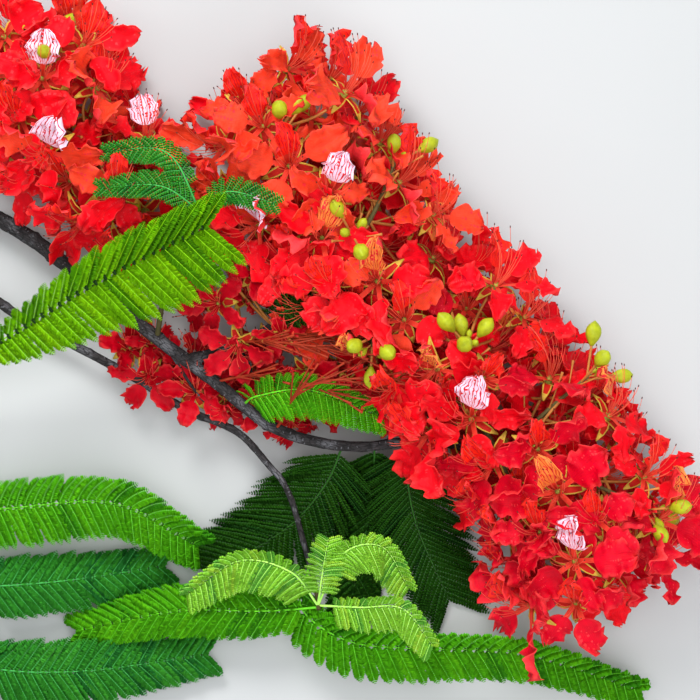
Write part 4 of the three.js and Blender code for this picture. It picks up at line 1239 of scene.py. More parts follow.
def crumple(seed, k, s, w):
    """How far a blade waves out of its plane, at shares s of its length and w of its half width, as a
    share of the crinkle, and how far its margin waves in its plane, as a share of its half width."""
    phase = [2 * math.pi * chance(seed, 100 + 7 * k + i) for i in range(7)]
    long_wave = np.sin(2 * math.pi * 2.4 * s + np.where(w > 0, phase[0], phase[1])) * np.abs(w) ** 1.4
    short_wave = np.sin(2 * math.pi * 4.3 * s + np.where(w > 0, phase[2], phase[3])) * np.abs(w) ** 2.2
    tip_wave = np.sin(2 * math.pi * 1.2 * w + phase[4]) * rise(s, 0.5, 1)
    pucker = np.sin(2 * math.pi * 1.5 * w + phase[5] + 7 * s) * rise(s, 0, 0.3)
    scallop = np.sin(2 * math.pi * 3.4 * s + np.where(w > 0, phase[6], phase[0]))
    frill = np.sin(2 * math.pi * 6.1 * s + np.where(w > 0, phase[1], phase[5]))
    wave = long_wave + 0.6 * short_wave + 0.9 * tip_wave + 0.35 * pucker
    return wave, (0.1 * scallop + 0.06 * frill) * rise(s, 0.1, 0.4)


def arched(bloom, turn, line, t):
    """Places along the arched path of a blade, the way across the blade and the way its face looks."""
    ahead = unit(bezier(*line, t + 0.02) - bezier(*line, t - 0.02))
    across = bloom.out(turn + math.pi / 2, math.pi / 2)
    return bezier(*line, t), across, unit(np.cross(ahead, across))


def petal_points(bloom, petal, crinkle, grid, closing=0.0):
    """The points of a petal's face: an arched path with a rolled, crumpled blade across it."""
    seed, k, length = bloom.seed, petal["number"], petal["length"]
    opens, ends = petal["opens"] - closing * 0.6, petal["ends"] - closing
    root = bloom.middle
    knee = root + bloom.out(petal["turn"], opens) * length * 0.45
    tip = knee + bloom.out(petal["turn"], ends) * length * 0.55
    t = grid[0]
    at, across, face = arched(bloom, petal["turn"], (root, knee, tip), t)
    twist = spread(seed, 90 + k, 0.8) * t ** 2
    over = across * np.cos(twist)[:, None] + face * np.sin(twist)[:, None]
    face = face * np.cos(twist)[:, None] - across * np.sin(twist)[:, None]
    w = grid[1][None, :]
    half = petal_outline(t, petal["half"])[:, None]
    s = np.clip((t[:, None] - CLAW_END) / (1 - CLAW_END), 0, 1)
    blade = rise(s, 0, 0.4)
    wave, scallop = crumple(seed, k, s, w)
    roll = petal["roll"] * (0.4 + 0.6 * blade) * w
    fold = petal["fold"] * blade * np.abs(w)
    aside = half * w * np.sinc(roll / math.pi) * (1 + scallop)
    lift = half * w * (roll / 2) * np.sinc(roll / (2 * math.pi)) ** 2 + half * fold + crinkle * blade * wave
    return at[:, None] + over[:, None] * aside[..., None] + face[:, None] * lift[..., None]


@functools.cache
def white_blades():
    """Points of the blades of the white standards."""
    sizes = bpy.context.scene.branch_sizes
    blades = [petal_points(bloom, next(petals_of(bloom, sizes)), sizes.crinkle / MM * bloom.size,
                           FINE_GRID)[4:] for bloom in all_blooms() if bloom.seed in white_seeds()]
    return np.concatenate(blades).reshape(-1, 3)


def covers_white(points):
    """True if points stand over a white standard, or touch it."""
    low, high = points.min(0) - WHITE_GAP, points.max(0) + WHITE_GAP
    whites = white_blades()
    near = whites[((whites > low) & (whites < high))[:, :2].all(1)]
    over = points[:, None] - near[None]
    aside = np.hypot(over[..., 0], over[..., 1])
    return bool(((aside < WHITE_GAP) & (over[..., 2] > -WHITE_GAP)).any())


def clear_petal(bloom, petal, crinkle, grid):
    """A petal closes or opens a little more at each try until it is clear of the limbs, and of the
    white standards if it can be."""
    white = petal["number"] == 0 and bloom.seed in white_seeds()
    best = None
    for closing in CLOSINGS:
        points = petal_points(bloom, petal, crinkle, grid, closing)
        tested = points[::3, ::2].reshape(-1, 3)
        if clears(tested, limb_points(), PETAL_GAP):
            if white or not covers_white(tested):
                return points
            best = points if best is None else best
    return best


def sepal_points(bloom, k, sizes):
    """The points of a sepal's inner face: a spear that arches back from the cup."""
    turn = (2 * k - 1) * math.pi / 5
    opening = 1.72 + spread(bloom.seed, 50 + k, 0.12)
    length = sizes.sepal_length / MM * bloom.size
    hub = bloom.middle - bloom.facing * SEPAL_DROP
    knee = hub + bloom.out(turn, 1.15) * length * 0.55
    tip = hub + bloom.out(turn, opening) * length
    t = SEPAL_GRID[0]
    at, across, face = arched(bloom, turn, (hub, knee, tip), t)
    half = sizes.sepal_half_width / MM * (0.72 + 0.9 * t - 1.56 * t ** 2.2)[:, None]
    w = SEPAL_GRID[1][None, :]
    lift = 0.35 * half * w ** 2 + 0.5 * np.sin(6 * t[:, None] + bloom.seed) * w
    return at[:, None] + across * (half * w)[..., None] + face[:, None] * lift[..., None]


def deep_tones(bloom):
    """The one colour of a deep bloom: by the limbs and the spent racemes a darker red that paints their
    shade, else plain scarlet.
    """
    return ["shaded_red" if bloom.mass >= SHADED else "scarlet"] * 4


def petal_tones(bloom, k):
    """The colours of a petal's front, margin, back and claw. Reds are warmer towards the cut end and
    bluer towards the far end."""
    if bloom.deep():
        return deep_tones(bloom)
    warmth = 0.5 if bloom.mass else 0.95 - bloom.along
    warmth += spread(bloom.seed, 80, 0.22) + spread(bloom.seed, 81 + k, 0.12)
    front = "vermilion" if warmth > 0.66 else "scarlet" if warmth > 0.26 else "crimson"
    return [front, front, "petal_back", "petal_claw"]


def standard_tones(bloom):
    """The colours of a standard's front, margin, back and claw."""
    if bloom.deep():
        return deep_tones(bloom)
    gold = chance(bloom.seed, 70) < 0.26 and not bloom.spare
    front = "standard_gold" if gold else "standard_red"
    if bloom.seed in white_seeds():
        front = "standard_white"
    return [front, front, "petal_back", "petal_claw"]


def piece_of(bloom):
    """Which piece a bloom's petals are in: one for the far mass and one for each half of the large."""
    if bloom.mass == 1:
        return "petals_far_mass"
    return "petals_large_mass_b" if bloom.mass == 0 and bloom.along >= 0.5 else "petals_large_mass_a"


# Leaves: pinnae by the rule of the solids, carried to finer ribs and leaflets

def rib_at(leaf, t):
    """A leaf's midrib at a share of its length: the place, the ways ahead, across and up, its radius."""
    ahead = heading_of(leaf["route"], t)
    across = unit(np.cross(ahead, UP))
    return on_route(leaf["route"], t), ahead, across, np.cross(across, ahead), 1.8 - t


def pinna_line(leaf, share, way, seed):
    """The rib of one pinna, and which way its face looks."""
    at, ahead, across, up, radius = rib_at(leaf, leaf["bare"] + (1 - leaf["bare"]) * share)
    out = across * (-1 if way else 1)
    angle = math.radians(leaf["angle"][way] - 14 * share + spread(seed, way, 4))
    direction = ahead * math.cos(angle) + out * math.sin(angle)
    direction = unit(direction + up * leaf["lift"][way])
    growth = min(max(2 * share - 0.4, 0.3), 1.3) if "short" in leaf else 1
    length = leaf["reach"][way] * (0.72 + 0.4 * math.sin(math.pi * min(share * 0.9 + 0.1, 1))) * growth
    bent = unit(direction + np.array(leaf["hang"]) + UP * spread(seed, 5 + way, 0.1))
    root = at + out * radius * 0.7
    knee = root + direction * length * 0.5
    tip = knee + bent * length * 0.5
    forward = unit(tip - root)
    face = unit(np.cross(np.cross(forward, up), forward))
    return bezier(root, knee, tip, PINNA_SHARES), face


def leaves_in_order():
    """(name of the node, leaf, its number) for every leaf, in the order of the solids."""
    number = 0
    for name in LEAF_ORDER:
        for leaf in SHOOTS[name]["leaves"] if name in SHOOTS else [LEAVES[name]]:
            yield name, leaf, number
            number += 1


# Kinds of leaves, each with a colour of its own that is partly painted light and shade, lighter for
# leaves in full light and darker for those in shade: the leaves of that kind, unless a leaf names its
# own, half a leaflet's width as a share of its length, how many pinnae there are for each of the
# solids', how much farther apart than usual its leaflets stand, and how long the dark joint at a
# pinna's foot is, in millimetres
LEAF_KINDS = {
    "bright": dict(leaves=["left_leaf"], leaflet_half=0.19, finer=2.1, sparser=1, joint=6.0),
    "fresh": dict(leaves=["middle_leaf", "low_left_leaf", "bottom_right_leaf"],
                  leaflet_half=0.2, finer=2.1, sparser=1, joint=2.8),
    "young": dict(leaves=["young_shoot"], leaflet_half=0.25, finer=2.5, sparser=1, joint=2.2),
    "green": dict(leaves=["upper_shoot", "lower_left_leaf", "bottom_left_leaf"],
                  leaflet_half=0.23, finer=2.3, sparser=1.1, joint=2.4),
    "dark": dict(leaves=["dark_leaf_near", "dark_leaf_far", "dark_leaf_middle", SHADED_LEAF],
                 leaflet_half=0.3, finer=2.4, sparser=1.35, joint=2.8),
}
# How leaflets' colours differ from the leaf's, in red, green and blue: a lighter and a darker copy, which
# paint light and shade on the pinnae of the bright leaf and elsewhere vary the tone at random
LEAF_TINTS = {"Light": (1.4, 1.2, 1.2), "Main": (1, 1, 1), "Shaded": (0.5, 0.64, 1.1)}
RIB_TINT = (1.4, 1.2, 3.0)
PINNA_SHARES = np.linspace(0, 1, 9)
RIB_TAPER = np.linspace(1, 0.45, 9)


def leaf_tone(kind, share, way, seed):
    """0 light, 1 main or 2 shaded, dealt out by pinna at random; on the bright leaf also as painted light
    and shade.
    """
    shade = 0.9 + spread(seed, 20 + way, 0.5)
    if kind == "bright":
        # Painted light and shade: pinnae on one side of the midrib lighter, on the other darker, and darker
        # towards the leaf's tip
        shade += (0.25 if way else -0.25) + 0.6 * (share - 0.4)
    return 0 if shade < 0.6 else 1 if shade < 1.3 else 2


# Bark

SCAR_STEP = 34  # between the scars of dropped leaves, in millimetres


def bark_relief(seed, turns, along):
    """How far bark stands out, as a share of the radius, at turns round a limb and places along it."""
    theta, s = turns[None, :], along[:, None]
    relief = np.zeros((len(along), len(turns)))
    for i in range(1, 8):
        phase = 2 * math.pi * chance(seed, i)
        pace = (0.05 + 0.22 * chance(seed, 20 + i)) * (1 if i % 2 else -1)
        relief += 0.022 / math.sqrt(i) * np.sin(i * theta + pace * s + phase)
    relief += 0.014 * np.sin(s * 0.55 + 2 * np.sin(theta * 2))
    relief += 0.01 * np.sin(s * 1.3 + 3 * np.cos(theta * 3))
    for i in range(1, int(along[-1] / SCAR_STEP)):
        middle = i * SCAR_STEP + spread(seed, 40 + i, 9)
        aside = (theta - i * GOLDEN + math.pi) % (2 * math.pi) - math.pi
        near = np.exp(-((s - middle) / 3.2) ** 2)
        relief += 0.22 * near * np.exp(-(aside / 0.7) ** 2) + 0.035 * near
        relief -= 0.1 * np.exp(-((s - middle - 2) / 1.6) ** 2 - (aside / 0.35) ** 2)
    return relief


def bark_tube(limb, seed, step, sides, cut):
    """Points, faces, material kinds and grain places of a limb's bark, closed at both ends."""
    rough = on_route(limb["route"], np.linspace(0, 1, 200))
    count = int(route_length(rough)[-1] / step)
    t = np.linspace(0, 1, count)
    at = on_route(limb["route"], t)
    along = route_length(at)
    _, sides_at, others = frames_along(at)
    turns = np.arange(sides) * 2 * math.pi / sides
    radius = limb_radius(limb, t)
    if not cut:
        radius = radius * (1 + 0.4 * np.exp(-((along - 9) / 8) ** 2))
    left = along[-1] - along
    dome = np.sqrt(np.clip(1 - (1 - left / radius[-1]) ** 2, 0.03, 1))
    radius = radius * np.where(left < radius[-1], dome, 1)
    fade = np.minimum(1, left / 6)[:, None]
    radii = radius[:, None] * (1 + bark_relief(seed, turns, along) * fade)
    rings = ring_points(at, sides_at, others, radii, turns)
    rings[..., 2] = np.maximum(rings[..., 2], FLOOR_HEIGHT + BARK_REST)
    grain = np.stack(np.broadcast_arrays(
        radii * np.cos(turns), radii * np.sin(turns), along[:, None] / 3.5), -1) * MM
    points, grains = [rings.reshape(-1, 3)], [grain.reshape(-1, 3)]
    ring = np.arange(sides)
    after = (ring + 1) % sides
    faces = []
    for i in range(0, (count - 1) * sides, sides):
        faces += np.column_stack([i + ring, i + after, i + sides + after, i + sides + ring]).tolist()
    kinds = [0] * len(faces)
    size = count * sides
    inner = ring
    if cut:
        for share in (0.86, 0.5):
            points.append(at[0] + (rings[0] - at[0]) * share)
            grains.append(grain[0] * share)
            start = size + ring
            faces += np.column_stack([inner[after], inner[ring], start[ring], start[after]]).tolist()
            kinds += [0 if share > 0.8 else 1] * sides
            inner, size = start, size + sides
    points.append(at[:1])
    grains.append(np.zeros((1, 3)))
    faces += np.column_stack([np.full(sides, size), inner[after], inner[ring]]).tolist()
    kinds += [1 if cut else 0] * sides
    size += 1
    points.append(at[-1:])
    grains.append(grain[-1].mean(0, keepdims=True))
    last = (count - 1) * sides
    faces += np.column_stack([np.full(sides, size), last + ring, last + after]).tolist()
    kinds += [0] * sides
    return np.concatenate(points), faces, kinds, np.concatenate(grains)


# Operators

class BRANCH_OT_limbs(bpy.types.Operator):
    """Make the bark of the limbs and twigs, the cut end and the corky warts"""

    bl_idname = "branch.limbs"
    bl_label = "Limbs"

    def execute(self, context):
        step = context.scene.branch_sizes.bark_step / MM
        points, faces, kinds, grains, count = [], [], [], [], 0
        cut_sides, bough_sides, twig_sides = 28, 18, 10
        for seed, limb in enumerate([*LIMBS.values(), *TWIGS]):
            sides = cut_sides if seed == 0 else bough_sides if seed < len(LIMBS) else twig_sides
            made = bark_tube(limb, 500 + seed, step, sides, cut=seed == 0)
            points.append(made[0])
            faces += [tuple(count + i for i in face) for face in made[1]]
            kinds += made[2]
            grains.append(made[3])
            count += len(made[0])
        mesh = make_mesh("bark", np.concatenate(points), faces, [bark_material(), cut_wood_material()],
                         kinds, attributes={"grain": np.concatenate(grains)})
        shape, wart_faces = turned_shape([(-0.3, 0), (-0.1, 0.9), (0.28, 0.6), (0.4, 0)], 7)
        wart = head_object("wart", [(0.7 * x, 1.5 * y, z) for x, y, z in shape], wart_faces)
        warts = grow("lenticels", mesh.copy(), wart_tree(), {
            "Wart": wart, "Material": soft_material("Lenticel", "bark_bloom_and_highlight", 0.8, 300.0, 0.8, 0.95)})
        drop(wart)
        add_piece("limb_bark", mesh, "bark", *LIMBS)
        add_piece("lenticels", warts, "bark")
        return {"FINISHED"}


YOUNG_BUDS, SPENT_STALKS = 2, 8  # small buds at the tip of each axis, and bare stalks along it
STALK_OPENING = 0.66  # how far a stalk leans away from its axis
SPENT_WIDTHS = np.array([1.1, 0.85, 0.8, 0.75, 0.75, 0.75, 0.8, 1.1, 1.5])  # half, from foot to scar


def way_off(route, share, turn, opening):
    """The way in which a stalk leaves an axis."""
    ahead = heading_of(route, share)
    side = square_to(ahead)
    aside = side * math.cos(turn) + np.cross(ahead, side) * math.sin(turn)
    return ahead * 0.75 + aside * opening


class BRANCH_OT_racemes(bpy.types.Operator):
    """Make the racemes' axes, their stalked buds and the stalks of the blooms"""

    bl_idname = "branch.racemes"
    bl_label = "Racemes, buds and stalks"

    def execute(self, context):
        sizes = context.scene.branch_sizes
        axes, stalks, buds = Lines("half_width"), Lines("half_width"), Lines("axis", "size")
        for number, group in enumerate(RACEMES.values()):
            for i, axis in enumerate(group["axes"]):
                self.add_axis(axes, stalks, buds, group["foot"], axis, number * 10 + i, sizes)
        for bloom in all_blooms():
            self.add_stalk(stalks, bloom)
        spent = Lines("half_width")
        for number, axis in enumerate(SPENT_RACEMES):
            route = list(axis.values())
            t = np.linspace(0, 1, 30)
            spent.add(on_route(route, t), half_width=(1.6 - 0.9 * t) * MM)
            self.add_spent(spent, route, 70 + number, count=26, opening=0.24, shortest=40)
        add_tubes("spent_stalks", spent, 6, soft_material("Spent_stalk", "spent_stalk", scale=150.0),
                  "raceme")
        add_tubes("raceme_axes", axes, 10, soft_material("Raceme", "raceme", 1.0, 200.0, 0.5, 0.7),
                  "raceme", *RACEMES)
        add_tubes("bloom_stalks", stalks, 6, soft_material("Stalk", "stalk", scale=150.0), "raceme")
        profile = [(0, 0), (0.015, 0.26), (0.1, 0.4), (0.24, 0.7), (0.4, 0.93), (0.56, 1.0),
                   (0.72, 0.9), (0.85, 0.64), (0.94, 0.32), (0.99, 0.13), (1.02, 0)]
        bulge = sizes.bud_radius / sizes.bud_length
        shape = turned_shape([(h, r * bulge) for h, r in profile], 16, 4, 0.09)
        add_heads("buds", buds, shape, soft_material("Bud", "bud", 1.0, 140.0, 0.35, 0.5), "raceme")
        return {"FINISHED"}

    @staticmethod
    def add_axis(axes, stalks, buds, foot, axis, number, sizes):
        """An axis, its buds round its tip, younger ones beyond them and the stalks of spent blooms."""
        route = [foot, axis["bend"], axis["tip"]]
        t = np.linspace(0, 1, 30)
        knots = 1 + 0.12 * np.maximum(0, np.sin(t * 60 + number))
        axes.add(on_route(route, t), half_width=(3 - 1.5 * t) * knots * MM)
        for j in range(axis["buds"] + YOUNG_BUDS):
            young = j >= axis["buds"]
            share = 0.97 if young else 0.9 + 0.09 * j / axis["buds"]
            way = way_off(route, share, j * GOLDEN + chance(number, 7) * 2 * math.pi, STALK_OPENING)
            root = on_route(route, share)
            size = 0.36 + 0.3 * chance(number, 90 + j) if young else 0.9 + 0.16 * chance(number, 70 + j)
            reach = 8 if young else 16 + 16 * chance(number, 60 + j)
            line = root + way * reach * np.linspace(0, 1, 5)[:, None]
            stalks.add(line, half_width=np.linspace(1.1, 1.4, 5) * (0.7 if young else 1) * MM)
            buds.add([root + way * reach], axis=way, size=sizes.bud_length * size)
        BRANCH_OT_racemes.add_spent(stalks, route, number, SPENT_STALKS, STALK_OPENING, shortest=30)

    @staticmethod
    def add_spent(stalks, route, number, count, opening, shortest):
        """The stalks of blooms that have dropped, along an axis."""
        for j in range(count):
            share = 0.2 + 0.75 * j / count
            way = way_off(route, share, j * GOLDEN + chance(number, 8) * 2 * math.pi, opening)
            root = on_route(route, share)
            reach = shortest + 24 * chance(number, 140 + j)
            t = np.linspace(0, 1, len(SPENT_WIDTHS))
            line = bezier(root, root + way * reach * 0.5, root + way * reach - UP * 9, t)
            stalks.add(line, half_width=SPENT_WIDTHS * MM)

    @staticmethod
    def add_stalk(stalks, bloom):
        foot = bloom.middle - bloom.facing * STALK_DROP * bloom.size
        knee = foot - bloom.facing * math.dist(foot, bloom.foot) * 0.45
        t = np.linspace(0, 1, 12)
        line = pressed(bezier(bloom.foot, knee, foot, t))
        stalks.add(line, half_width=1.3 * (1.3 - 0.3 * t) * MM)


class BRANCH_OT_petals(bpy.types.Operator):
    """Make the petals of every bloom, with the streaked standards as a piece of their own"""

    bl_idname = "branch.petals"
    bl_label = "Petals"

    def execute(self, context):
        sizes = context.scene.branch_sizes
        crinkle, thickness = sizes.crinkle / MM, sizes.petal_thickness / MM
        pieces, nodes, standards = {}, {}, Sheets()
        colours = STANDARD_COLOURS + PETAL_COLOURS
        for i, bloom in enumerate(all_blooms()):
            name = piece_of(bloom)
            petals = pieces.setdefault(name, Sheets())
            if not bloom.spare:
                nodes.setdefault(name, []).append(f"bloom_{i + 1:02d}")
            white = bloom.seed in white_seeds()
            for petal in petals_of(bloom, sizes):
                plain = bloom.spare or (petal["number"] == 0 and not white)
                grid = PLAIN_GRID if plain else FINE_GRID
                points = clear_petal(bloom, petal, crinkle * bloom.size, grid)
                if points is None:
                    continue
                if petal["number"]:
                    tones = [PETAL_COLOURS.index(tone) for tone in petal_tones(bloom, petal["number"])]
                    petals.add(points, thickness, grid, tones, CLAW_END)
                else:
                    tones = [colours.index(tone) for tone in standard_tones(bloom)]
                    standards.add(points, thickness, grid, tones, CLAW_END)
        materials = [petal_material(colour) for colour in PETAL_COLOURS]
        for name, petals in pieces.items():
            add_piece(name, petals.mesh(name, materials), "bloom", *nodes[name])
        streaked = [standard_material(colour, "crimson") for colour in STANDARD_COLOURS]
        add_piece("standards", standards.mesh("standards", streaked + materials), "bloom")
        return {"FINISHED"}


class BRANCH_OT_sepals(bpy.types.Operator):
    """Make the cup and the five sepals behind every bloom"""

    bl_idname = "branch.sepals"
    bl_label = "Sepals and cups"

    def execute(self, context):
        sizes = context.scene.branch_sizes
        sheets, cups = Sheets(), Lines("axis", "size")
        inner, edge, outer = range(3)
        for bloom in all_blooms():
            for k in range(5):
                sheets.add(sepal_points(bloom, k, sizes), SEPAL_THICKNESS, SEPAL_GRID,
                           (inner, edge, outer, inner))
            cups.add(pressed([bloom.middle - bloom.facing * CUP_DROP * bloom.size]), axis=bloom.facing,
                     size=CUP_LENGTH * bloom.size * MM)
        outside = soft_material("Sepal_outside", "sepal_outside", 1.0, 130.0)
        margin = soft_material("Sepal_edge", "sepal_edge", 1.0, 130.0)
        materials = [petal_material("sepal_inside"), margin, outside]
        add_piece("sepals", sheets.mesh("sepals", materials), "bloom")
        profile = [(0, 0), (0.01, 0.08), (0.2, 0.12), (0.42, 0.24), (0.56, 0.27), (0.8, 0.19),
                   (0.92, 0.16), (1, 0)]
        add_heads("cups", cups, turned_shape(profile, 8, 4, 0.12), outside, "bloom")
        return {"FINISHED"}


class BRANCH_OT_stamens(bpy.types.Operator):
    """Make the ten stamens of every bloom, with their anthers"""

    bl_idname = "branch.stamens"
    bl_label = "Stamens"

    def execute(self, context):
        sizes = context.scene.branch_sizes
        threads, heads = Lines("half_width"), Lines("axis", "size")
        length = sizes.stamen_length / MM
        for bloom in all_blooms():
            for k in range(10):
                turn = k * math.pi / 5 + spread(bloom.seed, 110 + k, 0.25)
                radial = bloom.out(turn, math.pi / 2)
                reach = length * bloom.size * (0.9 + 0.2 * chance(bloom.seed, 120 + k))
                root = bloom.middle + radial * 1.8
                knee = root + bloom.facing * reach * 0.55 + radial * 5
                tip = (knee + bloom.facing * reach * 0.25 + bloom.standard * reach * 0.36
                       + radial * (7 + 7 * chance(bloom.seed, 130 + k)))
                t = np.linspace(0, 1, 7)
                line = pressed(bezier(root, knee, tip, t))
                threads.add(line, half_width=sizes.filament_radius * (1.2 - 0.5 * t))
                axis = unit(bezier(root, knee, tip, 1.0) - bezier(root, knee, tip, 0.9)) + UP * 0.3
                heads.add(line[-1:], axis=axis, size=ANTHER_LENGTH * MM)
        add_tubes("filaments", threads, 3, soft_material("Filament", "filament", scale=60.0), "bloom")
        shape = turned_shape([(-0.5, 0), (-0.3, 0.2), (0.3, 0.2), (0.5, 0)], 5)
        add_heads("anthers", heads, shape, soft_material("Anther", "anther", scale=400.0), "bloom")
        return {"FINISHED"}


class BRANCH_OT_leaves(bpy.types.Operator):
    """Make the leaves: midribs, the ribs of the pinnae with their dark joints, and the leaflets"""

    bl_idname = "branch.leaves"
    bl_label = "Leaves"

    def execute(self, context):
        sizes = context.scene.branch_sizes
        joints, twigs = Lines("axis", "size"), Lines("half_width")
        for shoot in SHOOTS.values():
            t = np.linspace(0, 1, 16)
            start, end = shoot["twig"]["radii"]
            twigs.add(on_route(shoot["twig"]["route"], t), half_width=(start + (end - start) * t) * MM)
        for kind, habit in LEAF_KINDS.items():
            names = habit["leaves"]
            leaflet = head_object("leaflet", *self.leaflet_shape(habit["leaflet_half"]))
            ribs, sprays = Lines("half_width"), Lines("up", "reach", "tone")
            for name, leaf, number in leaves_in_order():
                if leaf.get("kind", kind) == kind and (name in names or "kind" in leaf):
                    self.add_leaf(ribs, sprays, joints, leaf, number, kind)
            colour = "leaf_" + kind
            add_tubes("ribs_" + kind, ribs, 5, soft_material("Rib_" + kind, colour, RIB_TINT, 150.0), "leaf")
            tones = {label: soft_material(f"Leaflet_{kind}_{label}", colour, tint, 160.0, shine=0.06)
                     for label, tint in LEAF_TINTS.items()}
            made = grow("leaflets_" + kind, sprays.mesh("sprays"), leaflet_tree(), {
                "Leaflet": leaflet, "Spacing": sizes.leaflet_spacing * habit["sparser"],
                "Slant": sizes.leaflet_slant, **tones})
            drop(leaflet)
            add_piece("leaflets_" + kind, made, "leaf", *[name for name in names if name != SHADED_LEAF])
        twig_skin = soft_material("Shoot_twig", "raceme", 0.5, 200.0, 0.6, 0.8)
        add_tubes("shoot_twigs", twigs, 10, twig_skin, "bark")
        shape = turned_shape([(-0.5, 0), (-0.25, 0.3), (0.25, 0.3), (0.5, 0)], 5)
        add_heads("leaf_joints", joints, shape, soft_material("Leaf_joint", "leaf_dark", 0.4, 200.0), "leaf")
        return {"FINISHED"}

    @staticmethod
    def leaflet_shape(half):
        """An oblong leaflet one unit long, folded along its middle, with a keel that gives it body."""
        points = [(0, 0, 0), (half * 0.97, 0.12, 0.03), (half, 0.82, 0.05), (0, 1, 0), (-half, 0.82, 0.05),
                  (-half * 0.97, 0.12, 0.03), (0, 0.5, -0.05)]
        top = [(0, 1, 3), (1, 2, 3), (0, 3, 5), (3, 4, 5)]
        under = [(6, (i + 1) % 6, i) for i in range(6)]
        return points, top + under

    @staticmethod
    def add_leaf(ribs, sprays, joints, leaf, number, kind):
        t = np.linspace(0, 1, 40)
        ribs.add(pressed(on_route(leaf["route"], t)), half_width=(1.4 - 0.95 * t) * MM)
        pairs = round(leaf["pairs"] * LEAF_KINDS[kind]["finer"])
        along = route_length(on_route(leaf["route"], t))
        start = np.interp(leaf["bare"], t, along)
        space = (along[-1] - start) / pairs
        shares = np.interp(start + space * (np.arange(pairs) + 0.5), along, t)
        shares = (shares - leaf["bare"]) / (1 - leaf["bare"])
        blade = np.clip(rise(PINNA_SHARES, -0.3, 0.08) * (1 - rise(PINNA_SHARES, 0.72, 1.12)), 0.2, 1)
        reach = blade * min(leaf["half"] * 1.12, space * 0.72)
        for k, share in enumerate(shares):
            seed = number * 50 + k
            for way in (0, 1):
                line, face = pinna_line(leaf, share, way, seed)
                if not clears(line[1:], limb_points(), PINNA_GAP):
                    continue
                line = pressed(line)
                line[:, 2] = np.maximum(line[:, 2], FLOOR_HEIGHT + RIB_REST)
                ribs.add(line, half_width=0.45 * RIB_TAPER * MM)
                joints.add(line[:1], axis=line[1] - line[0], size=LEAF_KINDS[kind]["joint"] * MM)
                sprays.add(line, up=face, reach=reach * MM, tone=leaf_tone(kind, share, way, seed))


FLOOR_HALF = 4.0  # half the floor's width, in metres

# The lights: where each is and how wide, in metres, and its power, in watts. All face one place.
LIGHTS = {
    "Key": ((-0.5, 1.5, 1.7), 1.0, 42),
    "Fill": ((0.9, -1.1, 1.6), 1.4, 14),
    "Top": ((0.1, 0.0, 2.6), 1.6, 26),
}
LIT_PLACE = (0.05, 0.0, 0.08)
SKY_COLOUR, SKY_POWER = (0.86, 0.90, 0.95, 1), 0.7

# The camera's lens and sensor, and how much of the branch the photo's frame spans at the height of
# its upper blooms, all in millimetres
FOCAL_LENGTH, SENSOR_WIDTH = 100, 36
PHOTO_SPAN, PHOTO_HEIGHT = 700, 110


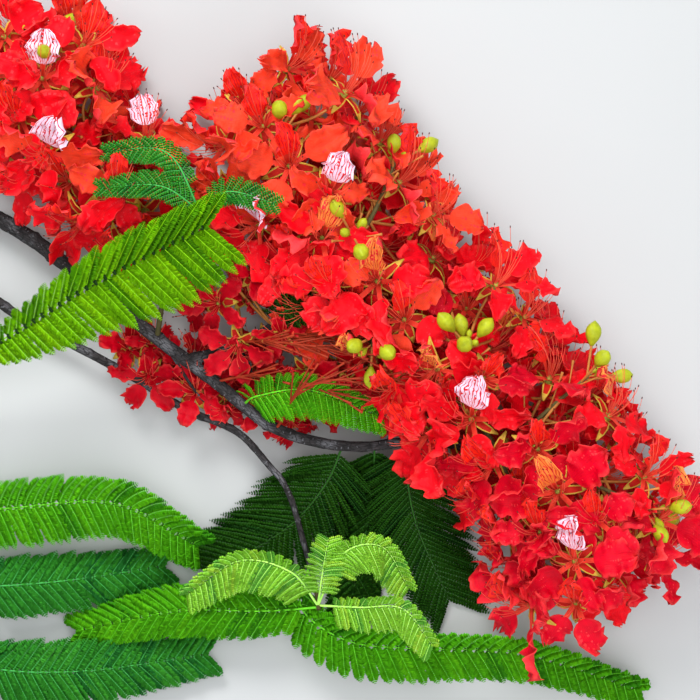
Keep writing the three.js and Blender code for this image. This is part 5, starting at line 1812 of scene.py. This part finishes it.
class BRANCH_OT_stage(bpy.types.Operator):
    """Make the pale floor, the soft lights and the camera that looks straight down"""

    bl_idname = "branch.stage"
    bl_label = "Floor, lights and camera"

    def execute(self, context):
        colour = colour_of("floor")
        mesh = bpy.data.meshes.new("floor")
        corners = [(x * FLOOR_HALF, y * FLOOR_HALF, 0) for x, y in ((-1, -1), (1, -1), (1, 1), (-1, 1))]
        mesh.from_pydata(corners, [], [(0, 1, 2, 3)])
        floor = bpy.data.objects.new("floor", mesh)
        context.scene.collection.objects.link(floor)
        material, tree, shader = new_material("Floor", **{"Specular IOR Level": 0.2})
        group = add_mottle(tree, shader, object_place(tree), 3.0, shade_of(colour, 1.02),
                           shade_of(colour, 0.97), 1.0)
        add_roughness(tree, shader, group.outputs["Mask"], 0.7, 0.85)
        mesh.materials.append(material)
        for name, (place, size, power) in LIGHTS.items():
            self.add_light(name, place, size, power)
        world = bpy.data.worlds.new("Studio")
        world.use_nodes = True
        background = world.node_tree.nodes["Background"]
        background.inputs[0].default_value = SKY_COLOUR
        background.inputs[1].default_value = SKY_POWER
        context.scene.world = world
        context.scene.view_settings.view_transform = "Standard"
        self.add_camera(context)
        return {"FINISHED"}

    @staticmethod
    def add_light(name, place, size, power):
        lamp = bpy.data.lights.new(name, "AREA")
        lamp.shape, lamp.size, lamp.energy = "DISK", size, power
        light = bpy.data.objects.new(name, lamp)
        bpy.context.scene.collection.objects.link(light)
        light.location = place
        aim = np.array(LIT_PLACE) - np.array(place)
        light.rotation_euler = Vector(aim).to_track_quat("-Z", "Y").to_euler()

    @staticmethod
    def add_camera(context):
        """The camera is as far up as makes its frame span what the photo's does."""
        lens = bpy.data.cameras.new("Camera")
        lens.lens, lens.sensor_width = FOCAL_LENGTH, SENSOR_WIDTH
        camera = bpy.data.objects.new("Camera", lens)
        context.scene.collection.objects.link(camera)
        middle = to_frame((0, 0, PHOTO_HEIGHT))
        distance = PHOTO_SPAN * lens.lens / lens.sensor_width * MM
        camera.location = (middle[0], middle[1], middle[2] + distance)
        context.scene.camera = camera


class BRANCH_PT_panel(bpy.types.Panel):
    """Lists the steps that build the branch, its sizes and its colours"""

    bl_label = "Flame Branch"
    bl_idname = "BRANCH_PT_panel"
    bl_space_type = "VIEW_3D"
    bl_region_type = "UI"
    bl_category = "Flame Branch"

    def draw(self, context):
        for operator in OPERATORS:
            self.layout.operator(operator.bl_idname)
        for group in (context.scene.branch_sizes, context.scene.branch_colours):
            box = self.layout.box()
            for label in group.bl_rna.properties.keys():
                if label not in ("rna_type", "name"):
                    box.prop(group, label)


OPERATORS = (BRANCH_OT_limbs, BRANCH_OT_racemes, BRANCH_OT_petals, BRANCH_OT_sepals, BRANCH_OT_stamens,
             BRANCH_OT_leaves, BRANCH_OT_stage)
CLASSES = (BranchSizes, BranchColours, *OPERATORS, BRANCH_PT_panel)


def register():
    for item in CLASSES:
        bpy.utils.register_class(item)
    bpy.types.Scene.branch_sizes = bpy.props.PointerProperty(type=BranchSizes)
    bpy.types.Scene.branch_colours = bpy.props.PointerProperty(type=BranchColours)


def unregister():
    del bpy.types.Scene.branch_colours
    del bpy.types.Scene.branch_sizes
    for item in reversed(CLASSES):
        bpy.utils.unregister_class(item)


def main():
    register()
    bpy.ops.branch.limbs()
    bpy.ops.branch.racemes()
    bpy.ops.branch.petals()
    bpy.ops.branch.sepals()
    bpy.ops.branch.stamens()
    bpy.ops.branch.leaves()
    bpy.ops.branch.stage()


if __name__ == "__main__":
    main()
